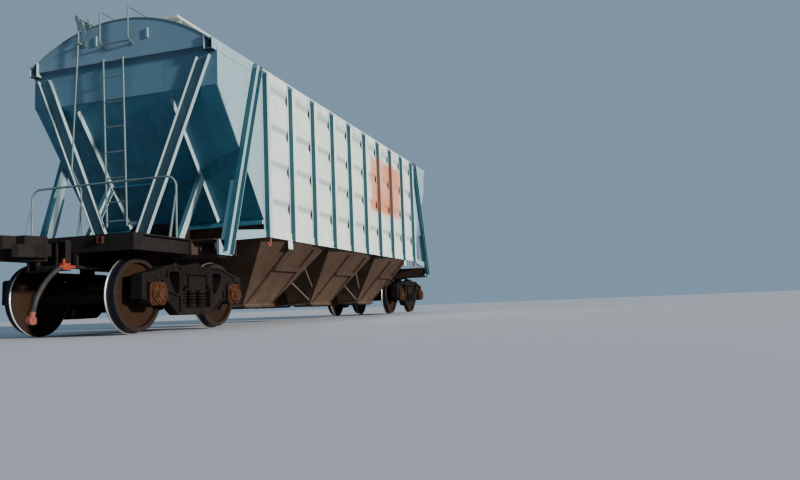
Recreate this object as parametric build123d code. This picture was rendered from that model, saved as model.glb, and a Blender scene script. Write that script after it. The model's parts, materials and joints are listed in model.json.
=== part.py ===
"""Covered hopper wagon for 1520 mm gauge, an assembly of separate sub-parts.

Millimetres. X runs along the wagon, Y across it and Z up. The origin is midway between the ends,
on the plane that the wheel flanges touch. "near" pieces are at the -X end and "far" ones at +X,
"right" pieces are at -Y and "left" ones at +Y. The two ends are alike, turned by half a turn.
"""
from build123d import *
from math import atan2, cos, degrees, hypot, pi, radians, sin, sqrt, tan
import os

# Wheels and axles
TREAD_R = 475                  # radius of the tread where it runs on the rail
FLANGE_H = 28                  # flange height, so the rail plane is this far above the floor
BACK_TO_BACK = 1440            # between the inner faces of the two wheels
RIM_W = 130
RIM_T = 62                     # rim thickness under the tread
HUB_R = 135
AXLE_R = 84                    # middle of the axle
SEAT_R = 97                    # where the wheel is pressed on
JOURNAL_R = 65
JOURNAL_END = 1130             # from the middle of the wagon to the axle's end
WHEELBASE = 1850
BOGIE_X = 5250                 # bogie centre from the middle of the wagon

# Body
WALL_Y = 1578                  # outer face of the side sheet
SHEET = 8
POST_COUNT = 10
POST_PITCH = 902
POST_W = 110
POST_D = 85
POST_T = 8
POST_CUT = 110                 # drop of the post's slanted top over its depth
WALL_BOTTOM = 1340             # heights named below are above the rail, up() adds the flange
GROOVE_Z = (1870, 2490, 3090, 3710)
GROOVE_H = 264
GROOVE_D = 42
BAND_X = 5412                  # outer face of the upright end band
BAND_BOTTOM = 3380
SLOPE_FOOT_X = 4120
SLOPE_FOOT_Z = 1585
GABLE_X = 5500                 # outer face of the gable
ROOF_CROWN_Z = 4530
ROOF_R = 2550
ROOF_CENTRE_Z = ROOF_CROWN_Z - ROOF_R
ROOF_EDGE_Y = WALL_Y - 38      # edge of the roof sheet, on the top chord
TOP_CHORD_IN_Y = WALL_Y - 138  # inner face of the top chord
TOP_CHORD_X = GABLE_X + 40     # end of the top chord
TOP_CHORD_H = 160
TOP_CHORD_Z = ROOF_CENTRE_Z + sqrt(ROOF_R ** 2 - ROOF_EDGE_Y ** 2) + SHEET     # top of the chord's outer lip
WALL_TOP = TOP_CHORD_Z - TOP_CHORD_H
LEDGE_Z = WALL_TOP + 65
BOTTOM_CHORD_H = 120
CHORD_T = 14

# Underframe
FRAME_TOP = 1208
FRAME_H = 200
END_X = 6750                   # outer face of the end beam
END_HALF = 1220
CHANNEL_T = 10
CHANNEL_D = 72
SILL_Y = 175
SILL_BOTTOM = 860
SILL_T = 12
BOLSTER_HALF_X = 300
BOLSTER_Y = 1560
BOLSTER_END_Z = 1010           # underside of its box at END_HALF
BOLSTER_TIP_Z = 1000
SHELF_T = 16                   # shelf and gussets that reach from the box to the side wall
JACK_PAD_Z = 970               # flat pad under each end of the bolster
JACK_PAD_Y = 1460
JACK_PAD_HALF = (110, 62)
CENTRE_PLATE_Z = 800
CENTRE_PLATE_R = 150
DECK_T = 8
COUPLER_Z = 1060
COUPLER_FACE_X = 7360

# Bunkers
BUNKER_PITCH = 2700
BUNKER_COUNT = 3
OUTLET_Z = 310
OUTLET_HALF_X = 500
OUTLET_Y = 650                 # outer edge of the outlet
PANEL_HALF_X = 470             # half length of the flat side panel of a bunker
CORNER_IN = 150                # how far the bunker's corner stands in from the side wall
BUNKER_T = 8
RIB_H = 45
RIB_T = 12
STIFFENER_Z = 915
LIP_H = 35
LIP_W = 28

# Roof fittings
HATCH_COUNT = 4
HATCH_PITCH = 2700
HATCH_R = 300                  # clear radius of the loading hatch
COAMING_T = 10
COAMING_TOP = ROOF_CROWN_Z + 90
LID_R = HATCH_R + 30
LID_TOP = COAMING_TOP + 45
LID_HINGE_Y = -LID_R - 70
LID_HINGE_Z = COAMING_TOP - 40
PIN_R = 10
PIN_CLEAR = 0.5
WALK_Y = (-900, -600)
WALK_Z = ROOF_CROWN_Z - 50     # underside of the planks
PLANK_T = 40
LOCK_Y = LID_R + 330
LOCK_Z = COAMING_TOP + 20

# Doors under the outlets
DOOR_T = 10
DOOR_GAP = 6                   # between the outlet's lip and the door
DOOR_PIN_Y = 690
DOOR_PIN_Z = 282

RUN_CLEAR = 6                  # clearance between pieces that move past each other


def up(height):
    """Height above the floor of a point that is 'height' above the rail."""
    return height + FLANGE_H


def mirror_y(shape):
    """The same piece on the other side of the wagon."""
    return mirror(shape, about=Plane.XZ)


def turn_end(shape):
    """The same piece at the other end of the wagon, by half a turn about Z."""
    return Rot(0, 0, 180) * shape


def group(shapes):
    """Solids that share a node without being fused."""
    return Compound(children=[solid for shape in shapes for solid in shape.solids()])


def along_x(points, x_low, x_high):
    """Prism with an outline of (y, z) points, from x_low to x_high."""
    plane = Plane(origin=(x_low, 0, 0), x_dir=(0, 1, 0), z_dir=(1, 0, 0))
    return extrude(plane * make_face(Polyline(*points, close=True)), amount=x_high - x_low)


def along_y(points, y_low, y_high):
    """Prism with an outline of (x, z) points, from y_low to y_high."""
    plane = Plane(origin=(0, y_high, 0), x_dir=(1, 0, 0), z_dir=(0, -1, 0))
    return extrude(plane * make_face(Polyline(*points, close=True)), amount=y_high - y_low)


def along_z(points, z_low, z_high):
    """Prism with an outline of (x, y) points, from z_low to z_high."""
    return extrude(Plane.XY.offset(z_low) * make_face(Polyline(*points, close=True)), amount=z_high - z_low)


def block(x, y, z):
    """Box between the (low, high) pairs x, y and z."""
    size = [high - low for low, high in (x, y, z)]
    middle = [(high + low) / 2 for low, high in (x, y, z)]
    return Pos(*middle) * Box(*size)


def rod(start, end, radius):
    """Round bar between two points."""
    line = Line(start, end)
    return sweep(Plane(origin=start, z_dir=Vector(*end) - Vector(*start)) * Circle(radius), path=line)


def bent_tube(points, bend, radius):
    """Round tube along straight runs joined by arcs."""
    path = FilletPolyline(*points, radius=bend)
    start = Plane(origin=points[0], z_dir=Vector(*points[1]) - Vector(*points[0]))
    return sweep(start * Circle(radius), path=path)


def channel_member(start, end, width, depth, thickness, side):
    """Rolled channel from start to end, points of (along, z), with its flanges towards 'side'.

    The outline is made flat, with the web in the plane of the member, and placed by the caller.
    """
    length = hypot(end[0] - start[0], end[1] - start[1])
    angle = degrees(atan2(end[1] - start[1], end[0] - start[0]))
    web = block((0, length), (-width / 2, width / 2), (0, thickness))
    flanges = [block((0, length), (edge - thickness / 2, edge + thickness / 2), (0, depth))
               for edge in (thickness / 2 - width / 2, width / 2 - thickness / 2)]
    member = web + flanges[0] + flanges[1]
    if side < 0:
        member = mirror(member, about=Plane.XY)
    return Pos(start[0], start[1], 0) * Rot(0, 0, angle) * member


FLAT_TO_XZ = Location((0, 0, 0), (90, 0, 0))      # a flat piece's (x, y, z) becomes (x, -z, y)
FLAT_TO_YZ = Plane(origin=(0, 0, 0), x_dir=(0, 1, 0), z_dir=(1, 0, 0))


# Wheels, axles and bogies

def make_wheelset(x):
    """Axle with its two wheels, one turned shape."""
    inner = BACK_TO_BACK / 2
    outer = inner + RIM_W
    rim_r = TREAD_R - RIM_T
    half = [(0, AXLE_R), (inner - 110, AXLE_R), (inner - 60, SEAT_R), (inner - 20, SEAT_R), (inner - 20, HUB_R),
            (inner + 22, HUB_R + 6), (inner + 30, rim_r - 90), (inner + 42, rim_r - 14), (inner, rim_r),
            (inner, TREAD_R + 12), (inner + 8, TREAD_R + FLANGE_H), (inner + 20, TREAD_R + FLANGE_H - 2),
            (inner + 33, TREAD_R + 8), (inner + 45, TREAD_R + 1), (outer - 7, TREAD_R - 3), (outer, TREAD_R - 10),
            (outer, rim_r), (inner + 78, rim_r - 10), (inner + 58, rim_r - 110), (inner + 52, HUB_R + 8),
            (outer + 14, HUB_R), (outer + 14, SEAT_R), (outer + 32, SEAT_R), (outer + 48, JOURNAL_R),
            (JOURNAL_END, JOURNAL_R)]
    outline = [(y, r) for y, r in half] + [(JOURNAL_END, 0), (-JOURNAL_END, 0)]
    outline += [(-y, r) for y, r in reversed(half[1:])]
    face = Plane(origin=(0, 0, 0), x_dir=(0, 1, 0), z_dir=(1, 0, 0)) * make_face(Polyline(*outline, close=True))
    return Pos(x, 0, up(TREAD_R)) * revolve(face, axis=Axis.Y)


SIDE_FRAME_Y = 1018
SIDE_FRAME_HALF = 80
SIDE_FRAME_RIM = 22            # width of the raised rim round the casting's outer face
SIDE_FRAME_POCKET = 26         # depth of the face inside the rim
JAW_TOP = TREAD_R + 180        # roof of the pedestal jaw
SPRING_SEAT_Z = TREAD_R - 185
BOGIE_BOLSTER_Z = (TREAD_R + 53, TREAD_R + 260)


def side_frame_outline():
    """Casting of a bogie's side, half outline of (x, z) from the middle to the end."""
    jaw = WHEELBASE / 2
    axle = up(TREAD_R)
    half = [(0, axle + 387), (560, axle + 387), (700, axle + 372), (790, axle + 338), (jaw + 140, axle + 277),
            (jaw + 240, axle + 265), (jaw + 264, axle + 240), (jaw + 270, axle - 55), (jaw + 180, axle - 75),
            (jaw + 172, up(JAW_TOP)), (jaw - 172, up(JAW_TOP)), (jaw - 180, axle - 95), (jaw - 262, axle - 95),
            (440, axle - 258), (395, axle - 280), (0, axle - 285)]
    return half + [(-x, z) for x, z in reversed(half[1:-1])]


def make_side_frame():
    """Cast side frame with its middle opening, two windows and pedestal jaws, at the bogie's middle."""
    axle = up(TREAD_R)
    seat, ceiling = up(SPRING_SEAT_Z), up(BOGIE_BOLSTER_Z[1] + 10)
    body = along_y(side_frame_outline(), SIDE_FRAME_Y - SIDE_FRAME_HALF, SIDE_FRAME_Y + SIDE_FRAME_HALF)
    middle = [(-335, seat), (335, seat), (335, axle + 85), (262, axle + 125), (262, ceiling), (-262, ceiling),
              (-262, axle + 125), (-335, axle + 85)]
    window = [(405, axle + 40), (430, axle + 12), (470, axle + 3), (500, axle + 20), (630, axle + 205), (636, axle + 240),
              (625, axle + 280), (600, axle + 300), (435, axle + 300), (405, axle + 272)]
    for hole in (middle, window, [(-x, z) for x, z in window]):
        body -= along_y(hole, SIDE_FRAME_Y - 200, SIDE_FRAME_Y + 200)
    face = SIDE_FRAME_Y + SIDE_FRAME_HALF
    rim = SIDE_FRAME_RIM
    pocket = [(380 - rim, axle + 387 - rim), (560, axle + 387 - rim), (695, axle + 372 - rim), (780, axle + 338 - rim - 4),
              (990, axle + 255), (990, up(JAW_TOP) + rim), (735, up(JAW_TOP) + rim), (672, axle + 212), (660, axle + 300),
              (610, axle + 300 + rim), (380 - rim, axle + 300 + rim)]
    knee = [(380, axle - 30), (470, axle - 20), (700, up(JAW_TOP) - 130), (jaw_wall(), axle - 70), (jaw_wall() - 60, axle - 78),
            (430, axle - 235), (380, axle - 240)]
    for shape in (pocket, knee):
        for sign in (-1, 1):
            body -= along_y([(sign * x, z) for x, z in shape], face - SIDE_FRAME_POCKET, face + 1)
    return body


def jaw_wall():
    """Inner edge of the pocket beside a pedestal jaw."""
    return WHEELBASE / 2 - 180 - SIDE_FRAME_RIM


def make_axle_box(x):
    """Roller bearing box of one journal, with its round cover, at the side frame's pedestal."""
    inner_y = BACK_TO_BACK / 2 + RIM_W + 50
    outer_y = JOURNAL_END + 12
    z = up(TREAD_R)
    housing = block((x - 160, x + 160), (inner_y, outer_y), (z - 145, z + 150))
    housing = chamfer(housing.edges().filter_by(Axis.Y), 36)
    bore = Pos(x, (inner_y + JOURNAL_END + 4) / 2, z) * Rot(90, 0, 0) * Cylinder(JOURNAL_R + 1, JOURNAL_END + 4 - inner_y)
    cover = Pos(x, outer_y + 23, z) * Rot(90, 0, 0) * Cylinder(137, 50)
    cover = chamfer(cover.edges().filter_by(GeomType.CIRCLE).sort_by(Axis.Y)[-1], 14)
    flange = block((x - 138, x + 138), (outer_y - 1, outer_y + 16), (z - 140, z + 140))
    flange = chamfer(flange.edges().filter_by(Axis.Y), 44)
    lug = block((x - 150, x + 150), (SIDE_FRAME_Y - 70, SIDE_FRAME_Y + 70), (z + 150, up(JAW_TOP)))
    return housing + flange + cover + lug - bore


SPRING_POINTS = ((-228, 0), (228, 0), (0, 0), (-114, -62), (114, -62), (-114, 62), (114, 62))   # x, y of a nest
SPRING_R = 66
SPRING_WIRE = 15
SPRING_TURNS = 5
BOWL_Z = CENTRE_PLATE_Z - 0.5


def make_spring_nest():
    """Seven coil springs between the side frame's seat and the bolster's end, as stacks of rings."""
    low, high = up(SPRING_SEAT_Z), up(BOGIE_BOLSTER_Z[0])
    pitch = (high - low - 2 * SPRING_WIRE) / (SPRING_TURNS - 1)
    core_r, ring_r, wire = SPRING_R - 2 * SPRING_WIRE, SPRING_R - SPRING_WIRE / 2, SPRING_WIRE
    outline = [(0, low), (core_r, low)]
    for turn in range(SPRING_TURNS):
        z = low + wire + turn * pitch
        outline += [(core_r, z - wire * 0.9), (ring_r - wire / 3, z - wire * 0.7), (ring_r, z),
                    (ring_r - wire / 3, z + wire * 0.7), (core_r, z + wire * 0.9)]
    outline += [(core_r, high), (0, high)]
    spring = revolve(Plane.XZ * make_face(Polyline(*outline, close=True)), axis=Axis.Z)
    return [Pos(x, SIDE_FRAME_Y + y, 0) * spring for x, y in SPRING_POINTS]


def make_bogie_side():
    """Side frame with its two axle boxes, on the left of a bogie at the wagon's middle."""
    boxes = [make_axle_box(x) for x in (-WHEELBASE / 2, WHEELBASE / 2)]
    return [make_side_frame()] + boxes


def make_bogie_bolster():
    """Cast beam across the bogie, with its ends on the springs and the centre bowl in its middle."""
    low, high = (up(z) for z in BOGIE_BOLSTER_Z)
    tip = SIDE_FRAME_Y + 92
    half = [(0, up(420)), (330, up(420)), (SIDE_FRAME_Y - 150, low), (tip, low), (tip, high - 30), (tip - 30, high),
            (SIDE_FRAME_Y - 130, high), (700, up(765)), (0, up(765))]
    outline = half + [(-y, z) for y, z in reversed(half[1:-1])]
    beam = along_x(outline, -205, 205)
    wedges = []
    for side in (-1, 1):
        for end in (-1, 1):
            span = sorted((end * 205, end * 256))
            wedges.append(block(span, sorted((side * (SIDE_FRAME_Y - 62), side * (SIDE_FRAME_Y + 62))), (up(585), up(725))))
    for wedge in wedges:
        beam += wedge
    for side in (-1, 1):
        beam += block((-290, 290), sorted((side * (SIDE_FRAME_Y - 88), side * (SIDE_FRAME_Y + 88))), (low, low + 24))
    bowl = Pos(0, 0, up(765)) * Cylinder(205, BOWL_Z - 765, align=(Align.CENTER, Align.CENTER, Align.MIN))
    rim = Pos(0, 0, up(BOWL_Z)) * (Cylinder(205, 26, align=(Align.CENTER, Align.CENTER, Align.MIN))
                                - Cylinder(CENTRE_PLATE_R + RUN_CLEAR, 26, align=(Align.CENTER, Align.CENTER, Align.MIN)))
    beam += bowl + rim
    for side in (-762, 762):
        beam += block((-120, 120), (side - 55, side + 55), (up(740), up(808)))
    return beam


def make_brake_rigging():
    """Brake beams with their shoes against the inner treads of both wheelsets."""
    pieces = []
    for end in (-1, 1):
        axle_x = end * WHEELBASE / 2
        beam_x = axle_x - end * (TREAD_R + 75)
        z = up(TREAD_R - 90)
        beam = rod((beam_x, -860, z), (beam_x, 860, z), 32)
        end_y = SIDE_FRAME_Y - SIDE_FRAME_HALF
        beam += rod((beam_x, -end_y, z), (beam_x, end_y, z), 20)
        strut_x = beam_x - end * 250
        for side in (-1, 1):
            beam += rod((beam_x, side * 640, z), (strut_x, side * 20, z), 18)
            shoe_r = TREAD_R + RUN_CLEAR + 4
            arc = [(axle_x - end * shoe_r * cos(radians(a)), up(TREAD_R) + shoe_r * sin(radians(a))) for a in (-22, -11, 0, 9)]
            back = [(axle_x - end * (shoe_r + 60) * cos(radians(a)), up(TREAD_R) + (shoe_r + 60) * sin(radians(a)))
                    for a in (9, 0, -11, -22)]
            beam += along_y(arc + back, *sorted((side * 768, side * 842)))
        beam += block(sorted((strut_x - end * 6, strut_x + end * 40)), (-45, 45), (z - 26, z + 26))
        pieces.append(beam)
    return pieces


# Underframe

def make_centre_sill():
    """Inverted channel from end beam to end beam, with the two centre plates under it."""
    low, high = up(SILL_BOTTOM), up(FRAME_TOP - CHANNEL_T)
    y, t = SILL_Y, SILL_T
    outline = [(-y, low), (t - y, low), (t - y, high - t), (y - t, high - t), (y - t, low), (y, low), (y, high), (-y, high)]
    sill = along_x(outline, -END_X + CHANNEL_T, END_X - CHANNEL_T)
    for x in (-BOGIE_X, BOGIE_X):
        sill += block((x - 260, x + 260), (-y, y), (low, low + 40))
        sill += Pos(x, 0, up(CENTRE_PLATE_Z)) * Cylinder(CENTRE_PLATE_R, low - up(CENTRE_PLATE_Z),
                                                        align=(Align.CENTER, Align.CENTER, Align.MIN))
    return sill


STRIKER_HALF = 300             # casting on the end beam, round the coupler's shank
STRIKER_D = 83
STRIKER_LOW = 795


def make_end_frame():
    """Near end beam, corner channels and the platform's floor, one welded frame."""
    low, high, t = up(FRAME_TOP - FRAME_H), up(FRAME_TOP), CHANNEL_T
    bolster_x = -BOGIE_X - BOLSTER_HALF_X
    beam = [(-END_X, low), (-END_X + CHANNEL_D, low), (-END_X + CHANNEL_D, low + t), (-END_X + t, low + t),
            (-END_X + t, high - t), (-END_X + CHANNEL_D, high - t), (-END_X + CHANNEL_D, high), (-END_X, high)]
    frame = along_y(beam, -END_HALF, END_HALF)
    web_y = END_HALF - CHANNEL_D
    channel = [(web_y, low), (END_HALF, low), (END_HALF, low + t), (web_y + t, low + t), (web_y + t, high - t),
               (END_HALF, high - t), (END_HALF, high), (web_y, high)]
    side = along_x(channel, -END_X + t, bolster_x) + block((-END_X, -END_X + 180), (web_y, END_HALF), (low, high))
    frame += side + mirror_y(side)
    frame -= block((-END_X - 1, -END_X + t), (-150, 150), (up(SILL_BOTTOM), up(FRAME_TOP - 45)))
    frame -= block((-END_X + t, -END_X + CHANNEL_D + 1), (-SILL_Y, SILL_Y), (low - 1, high - t))
    low_lip = up(STRIKER_LOW)
    striker = block((-END_X - STRIKER_D, -END_X), (-STRIKER_HALF, STRIKER_HALF), (low_lip, up(FRAME_TOP - 40)))
    striker -= block((-END_X - STRIKER_D - 1, -END_X + 1), (-140, 140), (up(SILL_BOTTOM) + 10, up(FRAME_TOP - 62)))
    for side in (-1, 1):
        striker -= block((-END_X - STRIKER_D - 1, -END_X - 14), sorted((side * 158, side * (STRIKER_HALF - 14))),
                         (low_lip + 16, up(FRAME_TOP - 62)))
    striker = chamfer(striker.edges().filter_by(Axis.Z).sort_by(Axis.Y)[:1], 6)
    frame += striker
    deck = block((-END_X, bolster_x), (-END_HALF, END_HALF), (high, high + DECK_T))
    return frame + deck


def make_body_bolster():
    """Near cross beam over the bogie: a box over the sill, and a shelf on gussets with a jacking pad at each end."""
    x = (-BOGIE_X - BOLSTER_HALF_X, -BOGIE_X + BOLSTER_HALF_X)
    half = [(0, up(SILL_BOTTOM)), (420, up(SILL_BOTTOM)), (END_HALF, up(BOLSTER_END_Z)), (END_HALF, up(FRAME_TOP)),
            (0, up(FRAME_TOP))]
    outline = half + [(-y, z) for y, z in reversed(half[1:-1])]
    beam = along_x(outline, *x)
    beam -= block((x[0] - 1, x[1] + 1), (-SILL_Y, SILL_Y), (up(SILL_BOTTOM) - 1, up(FRAME_TOP - CHANNEL_T)))
    for side in (-762, 762):
        beam += block((-BOGIE_X - 100, -BOGIE_X + 100), (side - 50, side + 50), (up(808 + RUN_CLEAR + 2), up(950)))
    half_x, half_y = JACK_PAD_HALF
    shelf, pad_top = up(FRAME_TOP - SHELF_T), up(BOLSTER_TIP_Z + 10)
    tip = block(x, (END_HALF - 1, BOLSTER_Y), (shelf, up(FRAME_TOP)))
    gusset = [(END_HALF - 1, up(BOLSTER_END_Z)), (BOLSTER_Y, up(BOLSTER_TIP_Z)), (BOLSTER_Y, shelf + 1),
              (END_HALF - 1, shelf + 1)]
    tip += along_x(gusset, x[1] - SHELF_T, x[1])
    tip += block((-BOGIE_X - half_x, -BOGIE_X + half_x), (JACK_PAD_Y - half_y, JACK_PAD_Y + half_y),
                 (up(JACK_PAD_Z), pad_top))
    tip += block((-BOGIE_X - half_x, x[1]), (JACK_PAD_Y - SHELF_T / 2, JACK_PAD_Y + SHELF_T / 2), (pad_top - 1, shelf + 1))
    tip += block((-BOGIE_X - SHELF_T / 2, -BOGIE_X + SHELF_T / 2), (JACK_PAD_Y, BOLSTER_Y), (pad_top - 1, shelf + 1))
    return beam + tip + mirror_y(tip)


def make_coupler():
    """Near automatic coupler: shank in the sill and a head with its two teeth."""
    z = up(COUPLER_Z)
    shank = block((-END_X - 150, -END_X + 700), (-65, 65), (z - 80, z + 80))
    face = -COUPLER_FACE_X
    head = [(face + 460, -110), (face + 330, -120), (face + 120, -71), (face + 120, 60), (face - 20, 110),
            (face - 40, 190), (face + 60, 232), (face + 330, 195), (face + 460, 110)]
    body = along_z(head, z - 150, z + 150)
    body = chamfer(body.edges().filter_by(Axis.Z).sort_by(Axis.X)[-2:], 25)
    arm = [(face + 440, -90), (face + 330, -205), (face + 120, -215), (face - 50, -150), (face - 85, -95),
           (face - 10, -62), (face + 120, -70), (face + 330, -60)]
    body += along_z(arm, z - 118, z + 30)
    sill_y, sill_top = SILL_Y - SILL_T, up(FRAME_TOP - CHANNEL_T) - SILL_T
    gear = block((-END_X + 420, -END_X + 1100), (-sill_y, sill_y), (up(SILL_BOTTOM + 50), sill_top))
    return body + shank + gear


# Body

def slope_x(z, outward=0):
    """Distance from the middle of the end slope's outer face at a height above the rail."""
    run = (BAND_X - SLOPE_FOOT_X) / (BAND_BOTTOM - SLOPE_FOOT_Z)
    return SLOPE_FOOT_X + (z - SLOPE_FOOT_Z) * run + outward


def post_places():
    """X of each side post."""
    return [(i - (POST_COUNT - 1) / 2) * POST_PITCH for i in range(POST_COUNT)]


def make_side_sheet():
    """Right side wall: sheet with four pressed grooves between its end posts and plain end corners."""
    last = post_places()[-1]
    out, back = -WALL_Y, -WALL_Y + SHEET
    points_out, points_in = [(out, up(WALL_BOTTOM))], [(back, up(WALL_BOTTOM))]
    for z in GROOVE_Z:
        for step in range(-4, 5):
            depth = GROOVE_D * cos(pi * step / 8) ** 2
            points_out.append((out + depth, up(z + step * GROOVE_H / 8)))
            points_in.append((back + depth, up(z + step * GROOVE_H / 8)))
    points_out.append((out, up(WALL_TOP)))
    points_in.append((back, up(WALL_TOP)))
    sheet = along_x(points_out + points_in[::-1], -last, last)
    corner = [(last, up(WALL_BOTTOM)), (slope_x(WALL_BOTTOM + 280, 12), up(WALL_BOTTOM + 280)),
              (BAND_X, up(BAND_BOTTOM + 20)), (BAND_X, up(WALL_TOP)), (last, up(WALL_TOP))]
    for sign in (-1, 1):
        sheet += along_y([(sign * x, z) for x, z in corner], out, back)
        sheet += block(sorted((sign * last, sign * (last - SHEET))), (out, out + GROOVE_D + SHEET),
                       (up(GROOVE_Z[0] - GROOVE_H / 2 - 10), up(GROOVE_Z[-1] + GROOVE_H / 2 + 10)))
    for ridge in ridge_places():
        sheet -= ridge_hole(ridge)
    return sheet


def ridge_places():
    """X of the ridges between neighbouring bunkers."""
    return [(i - (BUNKER_COUNT - 2) / 2) * BUNKER_PITCH for i in range(BUNKER_COUNT - 1)]


def ridge_height():
    """Height above the rail of the ridge between two bunkers."""
    run = (BAND_X - SLOPE_FOOT_X) / (BAND_BOTTOM - SLOPE_FOOT_Z)
    return OUTLET_Z + (BUNKER_PITCH / 2 - OUTLET_HALF_X) / run


def ridge_hole(x):
    """Triangular hole in the right side wall where a ridge's hollow end shows."""
    top = ridge_height() - 14
    triangle = [(x - 105, up(WALL_BOTTOM + 22)), (x + 105, up(WALL_BOTTOM + 22)), (x, up(top))]
    return along_y(triangle, -WALL_Y - CHORD_T - 40, -WALL_Y + SHEET + 1)


def make_side_frame_body():
    """Right side wall's top chord, bottom chord, posts and two hanging plates, one welded frame."""
    out = -WALL_Y
    first, last = post_places()[0], post_places()[-1]
    edge_y, in_y, t = -ROOF_EDGE_Y, -TOP_CHORD_IN_Y, SHEET
    chord = [(out, up(WALL_TOP)), (out, up(TOP_CHORD_Z)), (edge_y, up(TOP_CHORD_Z)), (edge_y, up(roof_z(edge_y, t))),
             (in_y, up(roof_z(in_y, t))), (in_y, up(WALL_TOP))]
    hollow = [(out + t, up(WALL_TOP) + t), (out + t, up(roof_z(edge_y, t)) - 10), (edge_y, up(roof_z(edge_y, t)) - 10),
              (in_y - t, up(roof_z(in_y - t, t)) - 11), (in_y - t, up(WALL_TOP) + t)]
    frame = along_x(chord, -TOP_CHORD_X, TOP_CHORD_X) - along_x(hollow, -TOP_CHORD_X - 1, TOP_CHORD_X + 1)
    low = up(WALL_BOTTOM)
    frame += block((first, last), (out - CHORD_T, out), (low, low + BOTTOM_CHORD_H))
    frame += block((first, last), (out - CHORD_T - 18, out), (low, low + 10))
    drop = 125
    tip = BOGIE_X - 170
    for sign in (-1, 1):
        tail = [(last, low), (last, low + BOTTOM_CHORD_H), (tip, low + BOTTOM_CHORD_H - drop + 24), (tip, low - drop)]
        frame += along_y([(sign * x, z) for x, z in tail], out - CHORD_T, out)
        run = drop / (tip - last)
        lip = [(x, low - (x - last) * run + dz) for x, dz in ((last + 70, 0), (last + 70, 12), (tip, 12), (tip, 0))]
        frame += along_y([(sign * x, z) for x, z in lip], out, out + 26)
        edge = [(BAND_X + 8, up(BAND_BOTTOM + 20)), (BAND_X - 30, up(BAND_BOTTOM + 20)), (BAND_X - 30, up(WALL_TOP) + 60),
                (BAND_X + 8, up(WALL_TOP) + 60)]
        frame += along_y([(sign * x, z) for x, z in edge], out - SHEET, out)
        plate_x = post_places()[-2] + POST_W / 2 - 30
        plate = [(plate_x, low + 2), (plate_x, low - 137), (plate_x + 160, low - 137), (plate_x + 160, low + 2)]
        frame += along_y([(sign * x, z) for x, z in plate], out - CHORD_T, out)
    for ridge in ridge_places():
        frame -= ridge_hole(ridge)
    for x in post_places():
        frame += make_post(x)
    return frame


def make_post(x):
    """One side post of hat section, open towards the sheet, its top cut on the slant."""
    out, half = -WALL_Y, POST_W / 2
    outline = [(x - half, out), (x - half, out - POST_D), (x + half, out - POST_D), (x + half, out),
               (x + half - POST_T, out), (x + half - POST_T, out - POST_D + POST_T),
               (x - half + POST_T, out - POST_D + POST_T), (x - half + POST_T, out)]
    top = up(TOP_CHORD_Z) - 6
    post = along_z(outline, up(WALL_BOTTOM) - 12, top)
    slant = [(out + 1, top), (out - POST_D - 1, top - POST_CUT), (out - POST_D - 1, top + 1), (out + 1, top + 1)]
    return post - along_x(slant, x - half - 1, x + half + 1)


HOOK_R = 17


def make_chord_hook():
    """Near right hook of bent bar under the bottom chord, beside the first post."""
    y, top = -WALL_Y - CHORD_T - 4, up(WALL_BOTTOM)
    x = post_places()[0] + POST_W / 2 + 20
    return bent_tube([(x, y, top), (x, y, top - 130), (x - 75, y, top - 130), (x - 75, y, top - 78)], 34, HOOK_R)


BRACE_IN_D = 63                # depth and top of the shorter inner channel
BRACE_IN_TOP = 2090


def make_side_brace():
    """Near right brace: channel from the top chord to the bolster's end, with a shorter one behind its foot."""
    high = up(TOP_CHORD_Z) - 24
    top = (post_places()[0] - 248, high)
    foot = (-BOGIE_X - 40, up(BOLSTER_TIP_Z + 12))
    past = (top[0] + (top[0] - foot[0]) / 20, top[1] + (top[1] - foot[1]) / 20)
    flat = channel_member(foot, past, 170, 72, 9, 1)
    placed = Pos(0, -WALL_Y - CHORD_T - 2, 0) * (FLAT_TO_XZ * flat)
    level = block((-BOGIE_X - 1000, -BOGIE_X + 2000), (-WALL_Y - 200, -WALL_Y), (up(BOLSTER_TIP_Z), high))
    brace = placed & level
    inner = Pos(0, -WALL_Y - CHORD_T - 2, 0) * (FLAT_TO_XZ * channel_member(foot, past, 170, BRACE_IN_D, 9, -1))
    brace += inner & block((-BOGIE_X - 1000, -BOGIE_X + 2000), (-WALL_Y - CHORD_T - 3, -WALL_Y + 200),
                           (up(FRAME_TOP), up(BRACE_IN_TOP)))
    brace += block((top[0] - 70, top[0] + 55), (-WALL_Y - CHORD_T - 2, -WALL_Y), (up(WALL_TOP) + 20, high - 8))
    shoe = along_y([(-BOGIE_X - 215, up(BOLSTER_TIP_Z - 8)), (-BOGIE_X + 125, up(BOLSTER_TIP_Z - 8)),
                    (-BOGIE_X + 125, up(BOLSTER_TIP_Z + 40)), (-BOGIE_X - 80, up(BOLSTER_TIP_Z + 60)),
                    (-BOGIE_X - 190, up(FRAME_TOP)), (-BOGIE_X - 215, up(FRAME_TOP))], -WALL_Y - CHORD_T - 2, -BOLSTER_Y)
    return brace + shoe


def roof_face(radius):
    """Arched solid under a cylinder of the given radius, across the wagon between the top chords' lips."""
    arch = Pos(0, 0, up(ROOF_CENTRE_Z)) * Rot(0, 90, 0) * Cylinder(radius, 2 * GABLE_X)
    return arch & block((-GABLE_X, GABLE_X), (-ROOF_EDGE_Y, ROOF_EDGE_Y), (up(ROOF_CENTRE_Z), up(ROOF_CROWN_Z) + 10))


def roof_z(y, inside=0):
    """Height above the rail of the roof's outer face at a place across the wagon."""
    return ROOF_CENTRE_Z + sqrt((ROOF_R - inside) ** 2 - y * y)


def hatch_places():
    """X of each loading hatch."""
    return [(i - (HATCH_COUNT - 1) / 2) * HATCH_PITCH for i in range(HATCH_COUNT)]


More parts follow.
